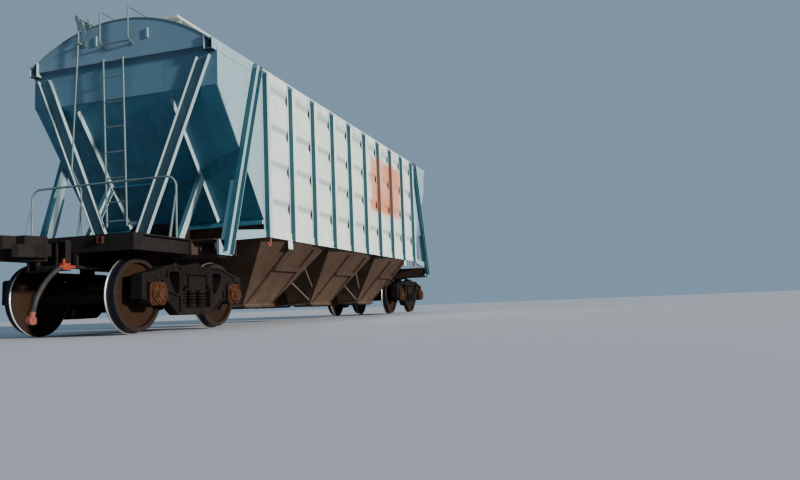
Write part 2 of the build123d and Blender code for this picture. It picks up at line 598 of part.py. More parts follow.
def make_roof():
    """Arched roof with a coaming and two hinge ears for each loading hatch."""
    roof = roof_face(ROOF_R) - roof_face(ROOF_R - SHEET)
    for x in hatch_places():
        inside_roof = roof_z(HATCH_R + COAMING_T) - 30
        ring = Pos(x, 0, up(inside_roof)) * (
            Cylinder(HATCH_R + COAMING_T, COAMING_TOP - inside_roof, align=(Align.CENTER, Align.CENTER, Align.MIN)))
        hole = Pos(x, 0, up(inside_roof) - 100) * Cylinder(HATCH_R, 400, align=(Align.CENTER, Align.CENTER, Align.MIN))
        roof = roof + ring - hole
        for offset in (-95, 95):
            ear = [(LID_HINGE_Y - 25, up(roof_z(LID_HINGE_Y - 25) - 4)), (LID_HINGE_Y + 25, up(roof_z(LID_HINGE_Y + 25) - 4)),
                   (LID_HINGE_Y + 18, up(LID_HINGE_Z + 18)), (LID_HINGE_Y - 18, up(LID_HINGE_Z + 18))]
            roof += along_x(ear, x + offset - 6, x + offset + 6)
        roof += rod((x - 101, LID_HINGE_Y, up(LID_HINGE_Z)), (x + 101, LID_HINGE_Y, up(LID_HINGE_Z)), PIN_R)
    return roof


def make_hatch_lid(x):
    """Round lid with a turned-down rim and a hinge arm on the right."""
    lid = Pos(x, 0, up(COAMING_TOP + 4)) * Cylinder(LID_R, LID_TOP - COAMING_TOP - 4, align=(Align.CENTER, Align.CENTER, Align.MIN))
    lid = chamfer(lid.edges().sort_by(Axis.Z)[-1], 22)
    skirt = Pos(x, 0, up(LID_HINGE_Z)) * Cylinder(LID_R, COAMING_TOP + 4 - LID_HINGE_Z, align=(Align.CENTER, Align.CENTER, Align.MIN))
    skirt -= Pos(x, 0, up(LID_HINGE_Z)) * Cylinder(HATCH_R + COAMING_T + RUN_CLEAR + 4, 100,
                                                  align=(Align.CENTER, Align.CENTER, Align.MIN))
    lid += skirt
    arm = block((x - 80, x + 80), (LID_HINGE_Y, -LID_R + 40), (up(LID_TOP - 30), up(LID_TOP - 12)))
    for offset in (-70, 70):
        ear = [(LID_HINGE_Y - 16, up(LID_HINGE_Z - 16)), (LID_HINGE_Y + 16, up(LID_HINGE_Z - 16)),
               (LID_HINGE_Y + 60, up(LID_TOP - 12)), (LID_HINGE_Y, up(LID_TOP - 12))]
        arm += along_x(ear, x + offset - 10, x + offset + 10)
    arm -= Pos(x, LID_HINGE_Y, up(LID_HINGE_Z)) * Rot(0, 90, 0) * Cylinder(PIN_R + PIN_CLEAR, 300)
    return lid + arm


def make_end_wall():
    """Near end's gable, ledge and upright band, one pressed sheet under the roof."""
    front, band, t = -GABLE_X, -BAND_X - SHEET, SHEET
    top = up(ROOF_CENTRE_Z + ROOF_R)
    profile = [(front, top), (front, up(LEDGE_Z)), (band, up(LEDGE_Z)), (band, up(BAND_BOTTOM)),
               (band + t, up(BAND_BOTTOM)), (band + t, up(LEDGE_Z) + t), (front + t, up(LEDGE_Z) + t), (front + t, top)]
    wall = along_y(profile, -WALL_Y, WALL_Y)
    between = (-TOP_CHORD_IN_Y, TOP_CHORD_IN_Y)
    under_roof = roof_face(ROOF_R - SHEET) & block((-GABLE_X, 0), between, (up(WALL_TOP), up(ROOF_CROWN_Z)))
    wall = wall & (under_roof + block((-GABLE_X, 0), (-WALL_Y, WALL_Y), (up(BAND_BOTTOM), up(WALL_TOP))))
    for y in (-500, 385):
        wall += block((front - 24, front), (y - 16, y + 16), (up(LEDGE_Z) + 255, up(LEDGE_Z) + 400))
    return wall


SLOPE_RIB_Y = 810
SLOPE_RIB_T = 12
SLOPE_BAR_Z = 2260             # cross bar between the two ribs


def slope_point(z, out):
    """Point (x, z) that lies 'out' outside the near end slope's outer face, at about height z."""
    angle = atan2(BAND_BOTTOM - SLOPE_FOOT_Z, BAND_X - SLOPE_FOOT_X)
    return (-slope_x(z) - out * sin(angle), up(z) - out * cos(angle))


def make_end_slope():
    """Near sloping end sheet with its two ribs and the beam at its foot."""
    inner = WALL_Y - SHEET
    sheet = [slope_point(BAND_BOTTOM, 0), slope_point(SLOPE_FOOT_Z, 0), slope_point(SLOPE_FOOT_Z, -SHEET),
             slope_point(BAND_BOTTOM, -SHEET)]
    slope = along_y(sheet, -inner, inner)
    rib = [slope_point(BAND_BOTTOM - 80, -2), slope_point(SLOPE_FOOT_Z + 60, -2), slope_point(SLOPE_FOOT_Z + 60, 75),
           slope_point(BAND_BOTTOM - 80, 75)]
    for y in (-SLOPE_RIB_Y, SLOPE_RIB_Y):
        slope += along_y(rib, y - SLOPE_RIB_T / 2, y + SLOPE_RIB_T / 2)
    bar = [slope_point(SLOPE_BAR_Z + 5, -2), slope_point(SLOPE_BAR_Z - 5, -2), slope_point(SLOPE_BAR_Z - 5, 62),
           slope_point(SLOPE_BAR_Z + 5, 62)]
    slope += along_y(bar, -SLOPE_RIB_Y, SLOPE_RIB_Y)
    foot_x = -SLOPE_FOOT_X
    beam = [(foot_x - 62, up(SLOPE_FOOT_Z - 50)), (foot_x + 5, up(SLOPE_FOOT_Z - 50)), (foot_x + 5, up(SLOPE_FOOT_Z + 14)),
            (foot_x - 62, up(SLOPE_FOOT_Z + 14))]
    return slope + along_y(beam, -inner, inner)


STRUT_LOW = (235, FRAME_TOP - 120)      # y and height above the rail of two points on a main strut's middle line
STRUT_HIGH = (1465, LEDGE_Z + 75)
STRUT_W = 190
STRUT_D = 62


def strut_inner_y(height):
    """Inner edge of the near end's left main strut at a height above the rail."""
    run = (STRUT_HIGH[0] - STRUT_LOW[0]) / (STRUT_HIGH[1] - STRUT_LOW[1])
    return STRUT_LOW[0] + (height - STRUT_LOW[1]) * run - STRUT_W / 2 * hypot(1, run)


def make_end_struts():
    """Near end's two main struts and two inner struts, all standing on the bolster."""
    plane_x = -BAND_X - SHEET
    pieces = []
    member = channel_member((STRUT_LOW[0], up(STRUT_LOW[1])), (STRUT_HIGH[0], up(STRUT_HIGH[1])), STRUT_W, STRUT_D, 9, -1)
    strut = Pos(plane_x, 0, 0) * (FLAT_TO_YZ.location * member)
    strut = strut & block((plane_x - 100, plane_x), (0, WALL_Y), (up(FRAME_TOP), up(LEDGE_Z - 120)))
    for shape in strut.solids():
        pieces.append(shape)
        pieces.append(mirror_y(shape))
    top = slope_point(2270, 75)
    foot_x = -BOGIE_X - 20
    inner = channel_member((foot_x - 30, up(FRAME_TOP - 60)), (top[0] + 20, top[1] + 40), 104, 70, 9, 1)
    inner = Pos(0, SLOPE_RIB_Y + 35, 0) * (FLAT_TO_XZ * inner)
    keep_out = [slope_point(BAND_BOTTOM, 75), slope_point(SLOPE_FOOT_Z - 500, 75), (-3000, up(500)), (-3000, up(3500))]
    inner = inner & block((-GABLE_X - 500, -SLOPE_FOOT_X + 500), (0, WALL_Y), (up(FRAME_TOP), up(LEDGE_Z)))
    inner -= along_y(keep_out, 0, WALL_Y)
    for shape in inner.solids():
        pieces.append(shape)
        pieces.append(mirror_y(shape))
    return pieces


# Bunkers

def bunker_planes(centre, inset):
    """Cutting planes of a bunker's left leg, moved inwards by 'inset', as (point, outward normal)."""
    run = (BAND_X - SLOPE_FOOT_X) / (BAND_BOTTOM - SLOPE_FOOT_Z)
    side_run = (WALL_Y - OUTLET_Y) / (WALL_BOTTOM - OUTLET_Z)
    planes = []
    for sign in (-1, 1):
        planes.append(((centre + sign * OUTLET_HALF_X, 0, up(OUTLET_Z)), (sign, 0, -run)))
    planes.append(((centre, OUTLET_Y, up(OUTLET_Z)), (0, 1, -side_run)))
    half_top = OUTLET_HALF_X + (WALL_BOTTOM - OUTLET_Z) * run
    for sign in (-1, 1):
        low = Vector(centre + sign * PANEL_HALF_X, OUTLET_Y, up(OUTLET_Z))
        high = Vector(centre + sign * PANEL_HALF_X, WALL_Y, up(WALL_BOTTOM))
        corner = Vector(centre + sign * half_top, WALL_Y - CORNER_IN, up(WALL_BOTTOM))
        normal = (high - low).cross(corner - low) * sign
        if normal.Y < 0:
            normal = normal * -1
        planes.append((tuple(low), tuple(normal)))
    moved = []
    for point, normal in planes:
        unit = Vector(*normal).normalized()
        moved.append((Vector(*point) - unit * inset, unit))
    return moved


def bunker_solid(x, y, z, centre, inset):
    """Block between the pairs x, y and z, cut by the bunker's planes."""
    solid = block(x, y, z)
    for point, normal in bunker_planes(centre, inset):
        solid = split(solid, bisect_by=Plane(origin=point, z_dir=normal), keep=Keep.BOTTOM)
    return solid


def make_bunker(index):
    """One bunker: two hollow legs beside the sill, joined over it, with ribs, stiffeners and outlet lips."""
    centre = (index - (BUNKER_COUNT - 1) / 2) * BUNKER_PITCH
    low = -SLOPE_FOOT_X if index == 0 else centre - BUNKER_PITCH / 2
    high = SLOPE_FOOT_X if index == BUNKER_COUNT - 1 else centre + BUNKER_PITCH / 2
    inner_wall = WALL_Y - SHEET
    sill_top, top = up(FRAME_TOP - CHANNEL_T), up(SLOPE_FOOT_Z - 50)
    leg = bunker_solid((low, high), (SILL_Y, inner_wall), (up(OUTLET_Z), sill_top), centre, 0)
    half = bunker_solid((low, high), (0, inner_wall), (sill_top, top), centre, 0)
    outer = leg + half
    inside = bunker_solid((low - 50, high + 50), (SILL_Y + BUNKER_T, inner_wall + 50), (up(OUTLET_Z) - 50, top + 50),
                          centre, BUNKER_T)
    inside += bunker_solid((low - 50, high + 50), (-1, inner_wall + 50), (sill_top + BUNKER_T, top + 50), centre, BUNKER_T)
    leg = outer - inside
    side_run = (WALL_Y - OUTLET_Y) / (WALL_BOTTOM - OUTLET_Z)
    slant = atan2(1, side_run)
    for sign in (-1, 1):
        rib_x = centre + sign * PANEL_HALF_X
        rib = [(OUTLET_Y, up(OUTLET_Z)), (WALL_Y - 60, up(WALL_BOTTOM) - 60 / side_run),
               (WALL_Y - 20, up(WALL_BOTTOM) - 60 / side_run - 25), (OUTLET_Y + RIB_H * sin(slant), up(OUTLET_Z) + 6)]
        leg += along_x(rib, rib_x - RIB_T / 2, rib_x + RIB_T / 2)
    mid_y = OUTLET_Y + (STIFFENER_Z - OUTLET_Z) * side_run
    stiff = [(mid_y + 40 * side_run, up(STIFFENER_Z + 40)), (mid_y + 40 * side_run + 42, up(STIFFENER_Z + 10)),
             (mid_y + 34, up(STIFFENER_Z - 45)), (mid_y - 45 * side_run, up(STIFFENER_Z - 45))]
    leg += along_x(stiff, centre - PANEL_HALF_X + RIB_T / 2, centre + PANEL_HALF_X - RIB_T / 2)
    lip = block((centre - OUTLET_HALF_X - LIP_W, centre + OUTLET_HALF_X + LIP_W), (SILL_Y, OUTLET_Y + LIP_W),
                (up(OUTLET_Z - 12), up(OUTLET_Z - 12) + LIP_H))
    lip -= bunker_solid((low - 50, high + 50), (SILL_Y + BUNKER_T, inner_wall), (up(OUTLET_Z), up(500)), centre, BUNKER_T)
    lip -= block((centre - OUTLET_HALF_X + BUNKER_T, centre + OUTLET_HALF_X - BUNKER_T),
                 (SILL_Y + BUNKER_T, OUTLET_Y - BUNKER_T), (up(OUTLET_Z - 40), up(OUTLET_Z)))
    leg += lip
    for end in (-1, 1):
        leg += door_ear(centre + end * (OUTLET_HALF_X + 12))
    pin = centre - OUTLET_HALF_X - 18, centre + OUTLET_HALF_X + 18
    leg += rod((pin[0], DOOR_PIN_Y, up(DOOR_PIN_Z)), (pin[1], DOOR_PIN_Y, up(DOOR_PIN_Z)), PIN_R)
    eave, ridge = SILL_Y + BUNKER_T, sill_top + 205
    saddle = [(0, ridge), (-eave, sill_top + BUNKER_T), (11 - eave, sill_top + BUNKER_T), (0, ridge - 12),
              (eave - 11, sill_top + BUNKER_T), (eave, sill_top + BUNKER_T)]
    return leg + mirror_y(leg) + along_x(saddle, low + 2, high - 2)


STAY_R = 13
STAY_ENDS = (((-1704, 1098, 999), (-752, 812, 660)),     # x, y and height of the right stays' ends in the near gap
             ((-1795, 690, 885), (-545, 650, 385)))


def make_bunker_stays():
    """Round stays across the gaps between neighbouring bunkers, ending on the bunkers' walls."""
    pieces = []
    walls = []
    for index in range(BUNKER_COUNT):
        centre = (index - (BUNKER_COUNT - 1) / 2) * BUNKER_PITCH
        span = (centre - BUNKER_PITCH / 2, centre + BUNKER_PITCH / 2)
        walls.append(bunker_solid(span, (SILL_Y, WALL_Y), (up(OUTLET_Z), up(SLOPE_FOOT_Z)), centre, 0))
    for gap, ridge in enumerate(ridge_places()):
        for start, end in STAY_ENDS:
            shift = ridge - ridge_places()[0]
            low, high = (Vector(x + shift, y, up(z)) for x, y, z in (start, end))
            run = (high - low).normalized() * 60
            stay = rod(tuple(low - run), tuple(high + run), STAY_R) - walls[gap] - walls[gap + 1]
            middle = (low + high) * 0.5
            piece = min(stay.solids(), key=lambda solid: (solid.center() - middle).length)
            pieces += [piece, mirror_y(piece)]
    return pieces


def door_ear(x):
    """Plate under the outlet's lip that holds the door's pin."""
    ear = [(DOOR_PIN_Y - 60, up(OUTLET_Z - 12)), (OUTLET_Y + LIP_W, up(OUTLET_Z - 12) + 20), (DOOR_PIN_Y + 18, up(DOOR_PIN_Z + 4)),
           (DOOR_PIN_Y + 14, up(DOOR_PIN_Z - 16)), (DOOR_PIN_Y - 14, up(DOOR_PIN_Z - 16))]
    return along_x(ear, x - 6, x + 6)


def make_outlet_door(index):
    """Flat door under a left outlet, with its hinge eyes on the outer side and ribs below."""
    centre = (index - (BUNKER_COUNT - 1) / 2) * BUNKER_PITCH
    top = up(OUTLET_Z - 12) - DOOR_GAP
    x = (centre - OUTLET_HALF_X + 4, centre + OUTLET_HALF_X - 4)
    door = block(x, (SILL_Y - 20, DOOR_PIN_Y - 32), (top - DOOR_T, top))
    for offset in (-330, 0, 330):
        rib = [(SILL_Y, top - DOOR_T), (DOOR_PIN_Y, top - DOOR_T), (DOOR_PIN_Y, top - DOOR_T - 34), (SILL_Y + 60, top - DOOR_T - 34)]
        door += along_x(rib, centre + offset - 7, centre + offset + 7)
        eye = Pos(centre + offset, DOOR_PIN_Y, up(DOOR_PIN_Z)) * Rot(0, 90, 0) * Cylinder(17, 46)
        door += eye
    door -= Pos(centre, DOOR_PIN_Y, up(DOOR_PIN_Z)) * Rot(0, 90, 0) * Cylinder(PIN_R + PIN_CLEAR, 1200)
    return door


# Fittings

LADDER_Y = 60
LADDER_HALF = 170
LADDER_TOP = (GABLE_X + 40, LEDGE_Z + 20)       # distance from the middle and height of a rail's upper bend
LADDER_FOOT = (BAND_X + SHEET + 45, 1490)
LADDER_R = 13
RUNG_Z = (1568, 1842, 2190, 2569, 2937, 3306, 3678)
RUNG_R = 10
HOOP_Y = (-245, 240)
HOOP_R = 12
HOOP_OUT = 100                 # reach of a grab hoop in front of the gable
HOOP_TOP = ROOF_CROWN_Z + 125
HOOP_FOOT = LEDGE_Z + 210


def ladder_x(height):
    """Distance from the middle of the ladder's leaning rails at a height above the rail."""
    lean = (LADDER_TOP[0] - LADDER_FOOT[0]) / (LADDER_TOP[1] - LADDER_FOOT[1])
    return LADDER_FOOT[0] + (height - LADDER_FOOT[1]) * lean


def make_end_ladder():
    """Near end ladder, leaning from the ledge to the struts, with the two grab hoops over the roof's edge."""
    ladder = None
    for side in (-1, 1):
        y = LADDER_Y + side * LADDER_HALF
        rail = bent_tube([(-LADDER_FOOT[0], y, up(LADDER_FOOT[1])), (-LADDER_TOP[0], y, up(LADDER_TOP[1])),
                          (-GABLE_X, y, up(LADDER_TOP[1]))], 18, LADDER_R)
        low, high = LADDER_FOOT[1] + 8, LADDER_FOOT[1] + 48
        bar = [(y, up(high)), (y, up(low)), (side * strut_inner_y(low), up(low)), (side * strut_inner_y(high), up(high))]
        bar_x = -ladder_x(high)
        rail += along_x(bar, bar_x - 4, bar_x + 4)
        ladder = rail if ladder is None else ladder + rail
    for height in RUNG_Z:
        x = -ladder_x(height)
        ladder += rod((x, LADDER_Y - LADDER_HALF, up(height)), (x, LADDER_Y + LADDER_HALF, up(height)), RUNG_R)
    hoops = None
    for y in HOOP_Y:
        back, out = -GABLE_X + 330, -GABLE_X - HOOP_OUT
        foot_z = up(HOOP_FOOT)
        hoop = bent_tube([(-GABLE_X - 6, y, foot_z), (out, y, foot_z + 50), (out, y, up(HOOP_TOP)), (back, y, up(HOOP_TOP)),
                          (back, y, up(roof_z(abs(y) - HOOP_R)) + 0.2)], 36, HOOP_R)
        foot = Pos(-GABLE_X - 6, y, foot_z) * Rot(0, 90, 0) * Cylinder(30, 12)
        hoops = hoop + foot if hoops is None else hoops + hoop + foot
    bar_x, bar_z = -GABLE_X - 58, foot_z + 28
    hoops += rod((bar_x, HOOP_Y[0], bar_z), (bar_x, HOOP_Y[1], bar_z), 8)
    return group([ladder, hoops])


RAIL_X = 5850
RAIL_Z = 2050
RAIL_Y = 1195
RAIL_R = 15


def make_end_handrail():
    """Near platform's handrail: a bent tube across the wagon, with a stay at each foot."""
    floor = up(FRAME_TOP + DECK_T)
    x = -RAIL_X
    rail = bent_tube([(x, -RAIL_Y, floor), (x, -RAIL_Y, up(RAIL_Z)), (x, RAIL_Y, up(RAIL_Z)), (x, RAIL_Y, floor)], 150, RAIL_R)
    stay = [(x + 2, up(RAIL_Z) - 215), (x - 26, up(RAIL_Z) - 262), (x - 168, floor), (x - 122, floor)]
    for side in (-1, 1):
        rail += along_y(stay, side * RAIL_Y - 5, side * RAIL_Y + 5)
    return rail


def make_roof_walkway():
    """Plank walk along the roof's right, on brackets."""
    planks = None
    y_low, y_high = WALK_Y
    width = (y_high - y_low - 20) / 3
    end = GABLE_X - 150
    for plank in range(3):
        y = y_low + plank * (width + 10)
        piece = block((-end, end), (y, y + width), (up(WALK_Z), up(WALK_Z) + PLANK_T))
        planks = piece if planks is None else planks + piece
    count = 9
    steps = 6
    for i in range(count):
        x = -end + 100 + i * (2 * end - 200) / (count - 1)
        seat = [y_high + (y_low - y_high) * step / steps for step in range(steps + 1)]
        bracket = [(y_low, up(WALK_Z)), (y_high, up(WALK_Z))] + [(y, up(roof_z(y) + 0.4)) for y in seat]
        planks += along_x(bracket, x - 5, x + 5)
    return planks


LOCK_ROD_X = GABLE_X + 75
LEVER_T = 16


def make_hatch_lock():
    """Lock shaft beside the hatches with its catches drawn back, and the near lever with the rods down to the platform."""
    x_end = hatch_places()[-1] + 200
    shaft = rod((-LOCK_ROD_X + LEVER_T / 2, LOCK_Y, up(LOCK_Z)), (x_end, LOCK_Y, up(LOCK_Z)), 20)
    stands = [-GABLE_X + 120] + [x + 450 for x in hatch_places()[:-1]] + [x_end - 40]
    for x in stands:
        plate = [(LOCK_Y - 60, up(roof_z(LOCK_Y - 60) + 0.9)), (LOCK_Y + 60, up(roof_z(LOCK_Y + 60) + 0.9)),
                 (LOCK_Y + 34, up(LOCK_Z + 32)), (LOCK_Y - 34, up(LOCK_Z + 32))]
        shaft += along_x(plate, x - 6, x + 6)
    tip = LID_R + 3 * RUN_CLEAR
    for x in hatch_places():
        arm = [(LOCK_Y - 16, up(LOCK_Z - 12)), (LOCK_Y + 16, up(LOCK_Z - 12)), (LOCK_Y + 16, up(LOCK_Z + 26)),
               (tip, up(LID_TOP + 34)), (tip, up(LID_TOP - 6)), (tip + 60, up(LID_TOP - 10))]
        shaft += along_x(arm, x - 20, x + 20)
    x = -LOCK_ROD_X
    floor = up(FRAME_TOP + DECK_T)
    pivot_y, pivot_z = LOCK_Y, up(LOCK_Z)
    hook = [(pivot_y + 4, pivot_z + 34), (pivot_y + 36, pivot_z + 28), (pivot_y + 44, pivot_z - 10), (pivot_y + 22, pivot_z - 62),
            (pivot_y, pivot_z - 120), (pivot_y - 8, pivot_z - 215), (pivot_y - 40, pivot_z - 215), (pivot_y - 34, pivot_z - 120),
            (pivot_y - 26, pivot_z - 20)]
    arm = [(pivot_y - 20, pivot_z - 60), (pivot_y - 74, pivot_z - 52), (pivot_y - 160, pivot_z - 262), (pivot_y - 116, pivot_z - 306),
           (pivot_y - 58, pivot_z - 214)]
    rods = along_x(hook, x - LEVER_T / 2, x + LEVER_T / 2) + along_x(arm, x - LEVER_T / 2, x + LEVER_T / 2)
    guide_z = up(LEDGE_Z) + 310
    route = [(x, pivot_y - 22, pivot_z - 205), (x, pivot_y - 8, guide_z - 120), (x, 755, up(2360)), (x, 590, up(2050)),
             (x, 567, floor + 0.5)]
    rods += bent_tube(route, 30, 12)
    stay = rod((x, 578, up(1900)), (x, 668, up(FRAME_TOP - 30)), 14)
    rods += stay & block((x - 50, x + 50), (400, 900), (floor, up(2000)))
    guide_y = pivot_y - 18
    rods += block((x - 20, -GABLE_X), (guide_y - 34, guide_y + 34), (guide_z - 12, guide_z + 12))
    rods += block((-GABLE_X - 8, -GABLE_X), (guide_y - 80, guide_y + 80), (guide_z - 44, guide_z + 44))
    return [shaft, rods]


BRAKE_Y = -STRIKER_HALF - 55
BRAKE_Z = 835
BRAKE_IN_Z = 950               # height of the pipe where it enters the bolster
COCK_X = END_X + 190


def make_brake_gear():
    """Air tank under the near slope and the pipe ends with their cocks at both ends."""
    tank_x, tank_z, tank_r = -4560, 1440, 165
    tank = Pos(tank_x, 0, up(tank_z)) * Rot(90, 0, 0) * Cylinder(tank_r, 900)
    tank = fillet(tank.edges().filter_by(GeomType.CIRCLE), 45)
    for y in (-120, 120):
        tank += block((tank_x - 110, tank_x + 110), (y - 8, y + 8), (up(FRAME_TOP - CHANNEL_T), up(tank_z)))
    pipes = []
    z = up(BRAKE_Z)
    low = up(FRAME_TOP - FRAME_H)
    bolster_x = -BOGIE_X - BOLSTER_HALF_X
    near = bent_tube([(-COCK_X + 60, BRAKE_Y, z), (bolster_x - 240, BRAKE_Y, z), (bolster_x - 140, BRAKE_Y, up(BRAKE_IN_Z)),
                      (bolster_x, BRAKE_Y, up(BRAKE_IN_Z))], 60, 21)
    near += Pos(-COCK_X + 30, BRAKE_Y, z) * Box(120, 62, 78)
    near += block((-COCK_X - 4, -COCK_X + 26), (BRAKE_Y - 9, BRAKE_Y + 9), (z + 5, z + 96))
    near += block((-END_X + 6, -END_X + 40), (BRAKE_Y - 27, BRAKE_Y + 27), (z - 9, low))
    start, after = (Vector(*point) for point in hose_points()[:2])
    near += rod(tuple(start - (after - start).normalized() * 70), tuple(start), 22)
    catch = block((-END_X - 44, -END_X), (-795, -715), (up(FRAME_TOP - 108), up(FRAME_TOP - 18)))
    catch -= block((-END_X - 45, -END_X - 12), (-783, -727), (up(FRAME_TOP - 90), up(FRAME_TOP - 17)))
    pipes = [near, turn_end(near), catch, turn_end(catch)]
    return [tank] + pipes


HOSE_R = 27


def hose_points():
    """Route of the near brake hose, from the cock's nozzle down to its coupling."""
    x, z = -COCK_X, up(BRAKE_Z)
    steps = ((-50, -18), (-150, -78), (-260, -178), (-352, -296), (-420, -420), (-452, -540))
    return [(x + along, BRAKE_Y, z + drop) for along, drop in steps]


def bend_radii(points, share=0.45):
    """Arc radius at each corner of a route: a share of its shorter run over the tangent of half the turn."""
    radii = []
    for before, corner, after in zip(points, points[1:], points[2:]):
        run_in, run_out = Vector(*corner) - Vector(*before), Vector(*after) - Vector(*corner)
        turn = run_in.get_angle(run_out)
        radii.append(share * min(run_in.length, run_out.length) / tan(radians(turn / 2)))
    return radii


def make_brake_hose():
    """Near brake hose, a tube of straight runs and tangent arcs."""
    points = hose_points()
    radii = bend_radii(points)
    path = FilletPolyline(*points, radius=radii)
    start = Plane(origin=points[0], z_dir=Vector(*points[1]) - Vector(*points[0]))
    tube = sweep(start * Circle(HOSE_R), path=path)
    print("hose radii", [round(r) for r in radii], "length", round(path.length),
          "volume ratio", round(tube.volume / (pi * HOSE_R ** 2 * path.length), 4))
    return tube


def make_hose_coupling():
    """Metal head on the free end of the near brake hose."""
    points = hose_points()
    tip, run = Vector(*points[-1]), (Vector(*points[-1]) - Vector(*points[-2])).normalized()
    sleeve = rod(tuple(tip), tuple(tip + run * 70), 32)
    head = Pos(*(tip + run * 95)) * Rot(90, 0, 0) * Cylinder(52, 58)
    claw = Pos(*(tip + run * 118 + Vector(34, 0, 0))) * Box(70, 30, 46)
    return sleeve + head + claw


# Assembly

def make_parts():
    """All sub-parts by name, in place."""
    parts = {"centre_sill": make_centre_sill(), "roof": make_roof(), "roof_walkway": make_roof_walkway(),
             "hatch_lock_gear": group(make_hatch_lock()), "brake_gear": group(make_brake_gear())}
    sheet, frame, brace = make_side_sheet(), make_side_frame_body(), make_side_brace()
    parts["side_sheet_right"], parts["side_sheet_left"] = sheet, mirror_y(sheet)
    parts["side_frame_right"], parts["side_frame_left"] = frame, mirror_y(frame)
    braces = group([brace, mirror_y(brace)])
    parts["side_braces_near"], parts["side_braces_far"] = braces, turn_end(braces)
    ends = {"end_frame": make_end_frame(), "body_bolster": make_body_bolster(), "coupler": make_coupler(),
            "end_wall": make_end_wall(), "end_slope": make_end_slope(), "end_struts": group(make_end_struts()),
            "end_ladder": make_end_ladder(), "end_handrail": make_end_handrail(), "brake_hose": make_brake_hose(),
            "hose_coupling": make_hose_coupling()}
    for name, shape in ends.items():
        parts[name + "_near"], parts[name + "_far"] = shape, turn_end(shape)
    for index in range(BUNKER_COUNT):
        parts[f"bunker_{index + 1}"] = make_bunker(index)
        door = make_outlet_door(index)
        parts[f"outlet_door_{index + 1}_left"], parts[f"outlet_door_{index + 1}_right"] = door, mirror_y(door)
    for index, x in enumerate(hatch_places()):
        parts[f"hatch_lid_{index + 1}"] = make_hatch_lid(x)
    hook = make_chord_hook()
    hooks = [hook, mirror_y(hook)]
    parts["chord_hooks"] = group(hooks + [turn_end(piece) for piece in hooks])
    parts["bunker_stays"] = group(make_bunker_stays())
    side, bolster, rigging = make_bogie_side(), make_bogie_bolster(), make_brake_rigging()
    springs = make_spring_nest()
    for end, x in (("near", -BOGIE_X), ("far", BOGIE_X)):
        parts[f"bogie_side_{end}_left"] = Pos(x, 0, 0) * group(side)
        parts[f"bogie_side_{end}_right"] = Pos(x, 0, 0) * group([mirror_y(piece) for piece in side])
        parts[f"bogie_springs_{end}"] = Pos(x, 0, 0) * group(springs + [mirror_y(spring) for spring in springs])
        parts[f"bogie_bolster_{end}"] = Pos(x, 0, 0) * bolster
        parts[f"brake_rigging_{end}"] = Pos(x, 0, 0) * group(rigging)
    axle_places = [s * BOGIE_X + t * WHEELBASE / 2 for s in (-1, 1) for t in (-1, 1)]
    for index, x in enumerate(axle_places):
        parts[f"wheelset_{index + 1}"] = make_wheelset(x)
    return parts


os.makedirs("parts", exist_ok=True)
for part_name, part_shape in make_parts().items():
    export_step(part_shape, f"parts/{part_name}.step")
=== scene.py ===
import json
import math

import bpy
from mathutils import Matrix, Vector


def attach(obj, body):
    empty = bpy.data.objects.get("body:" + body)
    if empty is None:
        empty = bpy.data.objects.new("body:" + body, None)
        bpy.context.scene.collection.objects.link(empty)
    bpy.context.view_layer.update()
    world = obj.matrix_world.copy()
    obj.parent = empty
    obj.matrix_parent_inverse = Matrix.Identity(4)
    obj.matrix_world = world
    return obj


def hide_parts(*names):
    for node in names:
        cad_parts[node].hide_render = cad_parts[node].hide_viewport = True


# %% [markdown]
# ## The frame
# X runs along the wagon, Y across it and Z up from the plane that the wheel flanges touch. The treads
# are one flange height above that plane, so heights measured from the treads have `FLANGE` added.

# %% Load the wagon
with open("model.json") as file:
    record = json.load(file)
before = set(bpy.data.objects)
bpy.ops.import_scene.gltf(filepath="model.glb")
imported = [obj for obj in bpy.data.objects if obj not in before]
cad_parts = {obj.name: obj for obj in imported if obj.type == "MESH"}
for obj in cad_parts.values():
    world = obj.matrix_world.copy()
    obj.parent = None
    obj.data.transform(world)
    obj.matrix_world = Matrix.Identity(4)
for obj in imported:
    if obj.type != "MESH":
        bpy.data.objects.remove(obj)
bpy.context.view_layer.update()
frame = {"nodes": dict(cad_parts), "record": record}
nodes = frame["nodes"]
FLANGE = 0.028
BOGIE_X = 5.25
HALF_WHEELBASE = 0.925
AXLE_Z = 0.475 + FLANGE
ENDS = (("near", -1), ("far", 1))
print("CAD nodes:", len(nodes))

# %% [markdown]
# ## The camera
# The photo looks along the wagon from beside its near corner, from 24 cm above the floor. A camera can
# be placed by its position, its forward direction and its roll about that direction. A turn about each
# axis in turn does the same, but a matrix of three directions is easier to check, because each of its
# columns can be read as an arrow. The angles are in radians.

# %% Camera at the corner
CAMERA_PLACE = (-13.868, -6.752, 0.216 + FLANGE)
YAW, PITCH, ROLL = 0.29865, 0.0912, -0.0398
FOCAL_PIXELS, PHOTO_PIXELS, SENSOR_MM = 706.6, 800, 36
forward = Vector((math.cos(PITCH) * math.cos(YAW), math.cos(PITCH) * math.sin(YAW), math.sin(PITCH)))
level_right = Vector((math.sin(YAW), -math.cos(YAW), 0))
level_up = level_right.cross(forward)
right = level_right * math.cos(ROLL) + level_up * math.sin(ROLL)
up = level_up * math.cos(ROLL) - level_right * math.sin(ROLL)
camera_data = bpy.data.cameras.new("corner_camera")
camera_data.sensor_width = SENSOR_MM
camera_data.lens = FOCAL_PIXELS / PHOTO_PIXELS * SENSOR_MM
camera_data.clip_end = 500
camera = bpy.data.objects.new("corner_camera", camera_data)
turn = Matrix((right, up, -forward)).transposed().to_4x4()
camera.matrix_world = Matrix.Translation(CAMERA_PLACE) @ turn
bpy.context.scene.collection.objects.link(camera)
bpy.context.scene.camera = camera
print("lens", round(camera_data.lens, 2), "mm")

